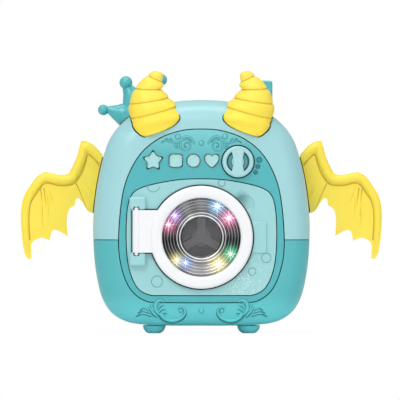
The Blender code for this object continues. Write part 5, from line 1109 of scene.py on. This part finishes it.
knob_teal = plastic("knob_teal", srgb(165, 211, 214), gloss=0.26, coat=0.25)
knob_dark = plastic("knob_recess", srgb(88, 166, 163), gloss=0.4)
knob_profile = [
    (0, -51.4), (3.0, -51.3), (4.8, -50.9), (5.4, -50.2), (5.4, -49.7), (5.9, -49.7),
    (6.1, -50.1), (6.5, -50.1), (6.7, -49.7), (7.5, -49.7), (7.7, -50.1), (8.1, -50.1),
    (8.3, -49.7), (9.7, -49.6), (9.7, -52.3), (10.3, -53.0), (11.1, -53.2), (12.2, -52.9),
    (13.0, -52.3), (13.3, -51.5), (13.3, -48.4), (0, -48.4),
]
# Painted shade: near-black teal on the walls of the crescent recess, round the hub and at its outer
# edge.
knob_recess_shade = plastic("knob_recess_shade", srgb(28, 92, 96), gloss=0.5)
knob = made(spun(knob_profile, KNOB, 96, False), "knob_grip", knob_teal, knob_dark, knob_recess_shade)
RECESS_IN_R, RIDGE_IN_R, RIDGE_OUT_R, RECESS_OUT_R = 5.42 * MM, 5.95 * MM, 8.6 * MM, 9.72 * MM
for face in knob.data.polygons:
    reach = math.hypot(face.center.x - KNOB[0], face.center.z - KNOB[1])
    if RECESS_IN_R < reach < RECESS_OUT_R and -50.3 * MM < face.center.y < -49.2 * MM:
        face.material_index = 1 if RIDGE_IN_R < reach < RIDGE_OUT_R else 2
GRIP_SIDE = ((6.4, 11.6), (5.4, 8.6), (4.5, 5.4), (4.0, 2.0), (3.9, 0.0), (4.0, -2.0),
             (4.5, -5.4), (5.4, -8.6), (6.4, -11.6))
half = [point * MM for point in smooth_loop(GRIP_SIDE, 3, False)]
grip = half + [Vector((-point.x, point.y)) for point in reversed(half)]
carve(knob, plate(moved(grip, *KNOB), -52.9 * MM, -48.7 * MM, 0.5 * MM, 3), "UNION")
carve(knob, peg(2.0 * MM, (KNOB[0], -49 * MM, KNOB[1]), (KNOB[0], -38.7 * MM, KNOB[1]), 24),
      "UNION")
fit(knob, "knob", "program_knob", edge=0.2 * MM)


# Horns.
# Soft yellow blow moulded horns in five stacked bands, like whipped cream, pegged to the hood.

def painted_crease_shade(tree, colour):
    """Painted shade along the creases that a mesh marks."""
    mark = node(tree, "ShaderNodeAttribute", attribute_name="crease")
    depth = math_node(tree, "MULTIPLY", mark.outputs["Fac"], 0.75)
    return mix_colours(tree, depth, colour, srgb(206, 164, 30))


horn_yellow = plastic("horn_yellow", srgb(252, 224, 66), gloss=0.46, flow=0.04, coat=0.0,
                      fade=(srgb(250, 224, 84), 180 * MM, 222 * MM), shade=painted_crease_shade)
HORN_BANDS = (
    (0.090, 0.500, -0.06, 0.345), (0.120, 0.676, -0.08, 0.295), (0.160, 0.800, -0.09, 0.255),
    (0.210, 0.882, -0.08, 0.215), (0.275, 0.922, -0.06, 0.186), (0.380, 0.824, 0.07, 0.262),
    (0.555, 0.705, 0.227, 0.16), (0.734, 0.453, 0.252, -0.03), (0.888, 0.230, 0.00, -0.467),
    (0.995, 0.160, -0.070, -0.15),
)
LOW_BANDS = 5
BAND_SWELLS = (0.085, 0.085, 0.085, 0.055)
HORN_FOOT = (39.2 * MM, -36 * MM, 166.6 * MM)
HORN_R, HORN_H = 22.6 * MM, 56.0 * MM
HORN_FLAT, HORN_NOD = 0.86, 0.08
FOOT_SHARE, FOOT_DEPTH = 0.3, 0.85
SQUARE_POWER, SQUARE_SHARE = 0.42, 0.2
TIP_R = 0.08


def horn_lean(share):
    """How far a horn leans out at a height, and how its bands tilt."""
    for (h0, r0, x0, t0), (h1, r1, x1, t1) in zip(HORN_BANDS, HORN_BANDS[1:]):
        if share <= h1:
            t = (share - h0) / (h1 - h0)
            t = t * t * (3 - 2 * t)
            return x0 + (x1 - x0) * t, t0 + (t1 - t0) * t
    return HORN_BANDS[-1][2], HORN_BANDS[-1][3]


def horn_form(side, grow=0.0):
    """A horn spun in bands, then leaned out, tilted and squared in front where it is low."""
    low = [Vector(band[:2]) for band in HORN_BANDS[:LOW_BANDS + 1]]
    rows = [(height, radius, False) for height, radius in smooth_loop(low, 5, False)[:-1]]
    high = HORN_BANDS[LOW_BANDS:]
    for swell, (h0, r0, x0, t0), (h1, r1, x1, t1) in zip(BAND_SWELLS, high, high[1:]):
        for i in range(12):
            t = i / 12
            rows.append((h0 + (h1 - h0) * t,
                         r0 + (r1 - r0) * t + swell * math.sin(math.pi * t) ** 0.5, i == 0))
    rows += [(*HORN_BANDS[-1][:2], False), (1.0, TIP_R, False)]
    bm = bmesh.new()
    crease = bm.verts.layers.float.new("crease")
    verts = [bm.verts.new((0, 0, rows[0][0] * HORN_H - 0.3 * MM))]
    for height, radius, notch in rows:
        vert = bm.verts.new((radius * HORN_R + grow, 0, height * HORN_H))
        vert[crease] = 1.0 if notch else 0.0
        verts.append(vert)
    verts.append(bm.verts.new((0, 0, HORN_H + 0.3 * MM)))
    for pair in zip(verts, verts[1:]):
        bm.edges.new(pair)
    lathe(bm, verts, (0, 0, 1), 96)
    for vert in bm.verts:
        share = vert.co.z / HORN_H
        lean, tilt = horn_lean(share)
        across, deep = vert.co.x, vert.co.y
        reach = math.hypot(across, deep)
        if reach > 0:
            rounder = max(0.0, min(1.0, (share - SQUARE_SHARE) / FOOT_SHARE))
            power = SQUARE_POWER + (1 - SQUARE_POWER) * rounder
            foot = max(reach, FOOT_DEPTH * HORN_R) if share < FOOT_SHARE else reach
            deep = math.copysign(foot * (abs(deep) / reach) ** power, deep)
        vert.co = (side * (across + lean * HORN_R), deep * HORN_FLAT,
                   vert.co.z - tilt * across + HORN_NOD * deep)
    bmesh.ops.translate(bm, vec=(side * HORN_FOOT[0], *HORN_FOOT[1:]), verts=bm.verts)
    bmesh.ops.recalc_face_normals(bm, faces=bm.faces)
    return bm


SEAT = 0.05 * MM


def joint_shadow_sheet(bm, name, high=1.1 * MM, top=None):
    """A thin dark sheet where a piece meets the casing, painted shade for the joint line."""
    line = made(bm, name, painted_seam_shadow)
    carve(line, casing_form(high), "INTERSECT")
    carve(line, casing_form(SEAT))
    if top is not None:
        carve(line, slab_space(-0.3, 0.3, top, 0.4))
    fit(line, "cabinet", slot="black")


for side, word in ((-1, "left"), (1, "right")):
    horn = made(horn_form(side), "horn_%s_cream" % word, horn_yellow)
    carve(horn, casing_form(0.3 * MM))
    fit(horn, "cabinet", "horn_" + word, angle=38)
    foot = horn_form(side, 0.7 * MM)
    bmesh.ops.translate(foot, vec=(0, 0, -0.5 * MM), verts=foot.verts)
    joint_shadow_sheet(foot, "horn_%s_joint" % word, 0.35 * MM, 186 * MM)


# Wings.
# Soft yellow plates with a round bone along the top edge and raised folds, held by a neck that
# the casing halves trap at their seam.

wing_yellow = plastic("wing_yellow", srgb(254, 226, 72), gloss=0.40, flow=0.05, coat=0.05)
WEB_HALF, ROOT_HALF, BONE_R, JOINT_GAP = 1.7 * MM, 2.6 * MM, 4.2 * MM, 1.15 * MM
WING_EDGE = (
    ((-0.090, 0.820), (0.000, 0.866), (0.072, 0.940), (0.171, 0.988), (0.259, 1.000)),
    ((0.259, 1.000), (0.290, 0.929), (0.315, 0.850), (0.363, 0.765), (0.430, 0.718),
     (0.550, 0.713), (0.650, 0.730), (0.740, 0.725), (0.866, 0.640), (0.971, 0.520),
     (1.000, 0.400), (1.000, 0.284), (0.980, 0.130), (0.948, 0.032), (0.900, 0.000),
     (0.874, 0.020), (0.877, 0.115), (0.848, 0.150), (0.784, 0.174), (0.726, 0.176),
     (0.650, 0.155)),
    ((0.650, 0.155), (0.625, 0.226), (0.585, 0.245), (0.516, 0.230), (0.428, 0.193)),
    ((0.428, 0.193), (0.438, 0.300), (0.432, 0.376), (0.401, 0.426), (0.346, 0.450)),
    ((0.346, 0.450), (0.335, 0.474), (0.330, 0.502), (0.294, 0.512), (0.248, 0.478),
     (0.177, 0.405), (0.100, 0.388), (-0.020, 0.388)),
)
WING_BONE = (
    (-0.060, 0.800), (0.037, 0.853), (0.122, 0.912), (0.213, 0.946), (0.250, 0.865),
    (0.305, 0.770), (0.390, 0.678), (0.537, 0.669), (0.720, 0.685), (0.841, 0.597),
    (0.922, 0.497), (0.948, 0.395), (0.948, 0.277), (0.930, 0.133), (0.908, 0.040),
)
WING_BONE_SIZES = (
    0.9, 0.95, 1.0, 1.0, 1.0, 1.05, 1.05, 1.0, 1.0, 0.95, 0.9, 0.85, 0.8, 0.65, 0.4,
)
WING_FOLDS = (
    (((0.715, 0.640), (0.690, 0.540), (0.672, 0.420), (0.640, 0.250)), 1.5),
    (((0.690, 0.640), (0.640, 0.540), (0.590, 0.460)), 1.2),
    (((0.770, 0.600), (0.750, 0.480), (0.745, 0.330), (0.720, 0.230)), 1.2),
    (((0.270, 0.660), (0.200, 0.590), (0.135, 0.520), (0.060, 0.450)), 4.2),
)


WING_ROOT_X, WING_SPAN, WING_LOW_Z, WING_HEIGHT = 84.5, 69.4, 63.1, 101.0


def wing_point(side, x, z):
    """Place of a point given in shares of a wing's span and height."""
    return Vector((side * (WING_ROOT_X + x * WING_SPAN) * MM, (WING_LOW_Z + z * WING_HEIGHT) * MM))


# Painted shade: thin darker yellow lines, just proud of the web on both faces, along the bone's
# inner edge and the folds.
wing_crease_shade = plastic("wing_crease_shade", srgb(206, 168, 40), gloss=0.5)
CREASE_SHADE_LINES = (
    (((0.020, 0.770), (0.100, 0.845), (0.180, 0.880), (0.205, 0.820), (0.265, 0.715),
      (0.370, 0.630), (0.537, 0.622), (0.700, 0.640), (0.805, 0.560), (0.880, 0.475),
      (0.902, 0.390), (0.902, 0.280), (0.890, 0.160)), 0.65, 0.2),
    (((0.325, 0.640), (0.270, 0.560), (0.222, 0.480), (0.185, 0.420)), 0.5, 0.7),
    (((0.763, 0.615), (0.745, 0.500), (0.732, 0.361)), 0.5, 0.7),
    (((0.720, 0.600), (0.705, 0.520), (0.690, 0.449)), 0.5, 0.7),
)
for side, word in ((-1, "left"), (1, "right")):
    edge_line = []
    for stretch in WING_EDGE:
        edge_line += smooth_loop([wing_point(side, *point) for point in stretch], 5, False)[:-1]
    edge_line.append(wing_point(side, -0.020, 0.388))
    wing = made(plate(edge_line, MID_Y - WEB_HALF, MID_Y + WEB_HALF), "wing_%s_web" % word,
                wing_yellow)
    for points, width in WING_FOLDS:
        path = smooth_loop([wing_point(side, *point) for point in points], 6, False)
        count = len(path)
        sizes = [width * MM * (0.35 + 0.65 * math.sin(math.pi * (i + 1) / (count + 1)))
                 for i in range(count)]
        carve(wing, tube([(point.x, MID_Y, point.y) for point in path], sizes, 16,
                         2.6 / width), "UNION", tangled=True)
    path = smooth_loop([wing_point(side, *point) for point in WING_BONE], 6, False)
    sizes = [size.x * BONE_R for size in
             smooth_loop([Vector((size, 0)) for size in WING_BONE_SIZES], 6, False)]
    carve(wing, tube([(point.x, MID_Y, point.y) for point in path], sizes, 20), "UNION",
          tangled=True)
    joint_shadow_sheet(plate(edge_line, MID_Y - ROOT_HALF, MID_Y + ROOT_HALF), "wing_%s_joint" % word)
    carve(wing, casing_form(JOINT_GAP), tangled=True)
    carve(wing, neck_form(side, (-5 * MM, -2.2 * MM, -17 * MM), (5 * MM, 2.2 * MM, 17 * MM)),
          "UNION")
    fit(wing, "cabinet", "wing_" + word, angle=50, edge=0.7 * MM, segments=3)
    lines = []
    for y in (MID_Y - 1.6 * MM, MID_Y + 1.6 * MM):
        for points, size, taper in CREASE_SHADE_LINES:
            fold = smooth_loop([wing_point(side, *point) for point in points], 5, False)
            lines.append(tube([(point.x, y, point.y) for point in fold],
                              [size * MM * (1 - taper * i / len(fold)) for i in range(len(fold))]))
    fit(made(gathered(lines), "wing_%s_creases" % word, wing_crease_shade), "cabinet", slot="yellow",
        angle=60)


# Crown and rear box.
# A puffy dark teal crown with a ball on each point stands behind the left horn, and a plain
# moulded box behind the right one; both plug into the rear shell.

crown_teal = plastic("crown_teal", srgb(80, 184, 190), gloss=0.24, coat=0.3)

CROWN_Y = 22 * MM
CROWN_ARMS = (
    ((124.0, 114.0, 9.6), (132.0, 117.0, 10.4), (146.0, 115.0, 10.4), (160.0, 112.0, 9.0)),
    ((104.8, 109.0, 2.6), (109.1, 109.5, 3.8), (115.0, 111.4, 6.5), (121.5, 113.4, 9.4),
     (130.0, 116.6, 10.2)),
    ((125.9, 83.2, 3.4), (127.6, 87.6, 5.0), (130.6, 94.0, 7.3), (132.6, 102.0, 8.9),
     (134.0, 112.0, 10.0)),
    ((160.2, 80.6, 2.2), (157.0, 86.0, 3.2), (152.0, 94.0, 5.8), (147.0, 106.0, 9.4)),
)
CROWN_BALLS = ((102.7, 109.4, 4.6), (125.4, 81.8, 5.55), (161.0, 79.0, 5.05))
crown = None
for arm in CROWN_ARMS:
    path = [(*photo_point(px, py), radius * MM) for px, py, radius in arm]
    path = smooth_loop([Vector(point) for point in path], 6, False)
    shape = tube([(x, CROWN_Y, z) for x, z, radius in path], [radius for x, z, radius in path],
                 28, 0.62)
    if crown is None:
        crown = made(shape, "crown_puff", crown_teal)
    else:
        carve(crown, shape, "UNION", tangled=True)
for px, py, radius in CROWN_BALLS:
    centre = photo_point(px, py)
    ball = bmesh.new()
    bmesh.ops.create_uvsphere(ball, u_segments=40, v_segments=24, radius=radius * MM)
    bmesh.ops.translate(ball, vec=(centre.x, CROWN_Y, centre.y), verts=ball.verts)
    carve(crown, ball, "UNION", tangled=True)
whole_crown = bmesh.new()
whole_crown.from_mesh(crown.data)
carve(crown, casing_form(JOINT_GAP))
fit(crown, "cabinet", "crown", angle=50)
joint_shadow_sheet(whole_crown, "crown_joint_shadow")

BOX_LOW, BOX_HIGH = (38 * MM, 8 * MM, 174 * MM), (60.7 * MM, 32 * MM, 215.4 * MM)
box = made(brick(BOX_LOW, BOX_HIGH, 2.2 * MM, 5), "rear_box_shell", crown_teal)
carve(box, casing_form(0.3 * MM))
fit(box, "cabinet", "rear_box")


# Feet.
# Four soft rubber buns with flat soles, pressed up into the shells.

foot_teal = plastic("bun_rubber", srgb(122, 232, 238), gloss=0.55, grain=2.0, coat=0.0)
FOOT_R, FOOT_H, SOLE_SHARE, PEG_TOP = 9.65, 6.3, 0.40, 11.3
bun_profile = [(0, PEG_TOP), (3.0, PEG_TOP), (3.0, FOOT_H)]
for i in range(9):
    turn = math.pi / 2 * i / 8
    bun_profile.append((FOOT_R * (SOLE_SHARE + (1 - SOLE_SHARE) * math.cos(turn)),
                        FOOT_H * (1 - math.sin(turn) ** 1.15)))
bun_profile.append((0, 0))
for number in range(1, 5):
    low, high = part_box("foot_%d" % number)
    bm = bmesh.new()
    verts = [bm.verts.new((radius * MM, 0, z * MM)) for radius, z in bun_profile]
    for pair in zip(verts, verts[1:]):
        bm.edges.new(pair)
    lathe(bm, verts, (0, 0, 1), 64)
    bmesh.ops.translate(bm, vec=((low[0] + high[0]) / 2, (low[1] + high[1]) / 2, 0),
                        verts=bm.verts)
    bmesh.ops.recalc_face_normals(bm, faces=bm.faces)
    fit(made(bm, "foot_%d_bun" % number, foot_teal), "cabinet", "foot_%d" % number, angle=50)


# Works inside: board, cells, speaker, switch and leads.
# Green circuit board with its switches, three cells in a printed sleeve, black plastic parts.

def board_tracks(tree, colour):
    """Pale tracks on a circuit board."""
    cells = node(tree, "ShaderNodeTexVoronoi", own_place(tree), feature="DISTANCE_TO_EDGE",
                 Scale=180.0)
    track = math_node(tree, "LESS_THAN", cells.outputs["Distance"], 0.05)
    return mix_colours(tree, track, colour, (0.05, 0.42, 0.16, 1))


board_green = plastic("board_green", (0.02, 0.17, 0.07, 1), gloss=0.35, shade=board_tracks)
dress(["control_board"], board_green)
black_plastic = plastic("black_plastic", (0.018, 0.018, 0.019, 1), gloss=0.45, coat=0.0)
dress(["rotary_switch", "speaker", "power_switch", "battery_wire", "switch_wire", "motor_wire",
       "speaker_wire"], black_plastic)
dress(["power_slider"], black_plastic, edge=0.3 * MM)


def cell_bands(tree, colour):
    """A pale band round one end of each cell."""
    along = math_node(tree, "ABSOLUTE", own_parts(tree)["X"])
    band = math_node(tree, "GREATER_THAN", along, 20 * MM)
    return mix_colours(tree, band, colour, (0.62, 0.60, 0.55, 1))


cell_sleeve = plastic("cell_sleeve", (0.05, 0.10, 0.22, 1), gloss=0.3, shade=cell_bands)
dress(["battery_1", "battery_2", "battery_3"], cell_sleeve)
dress(["battery_box", "battery_door"], base_teal_painted_low_light, edge=0.25 * MM)
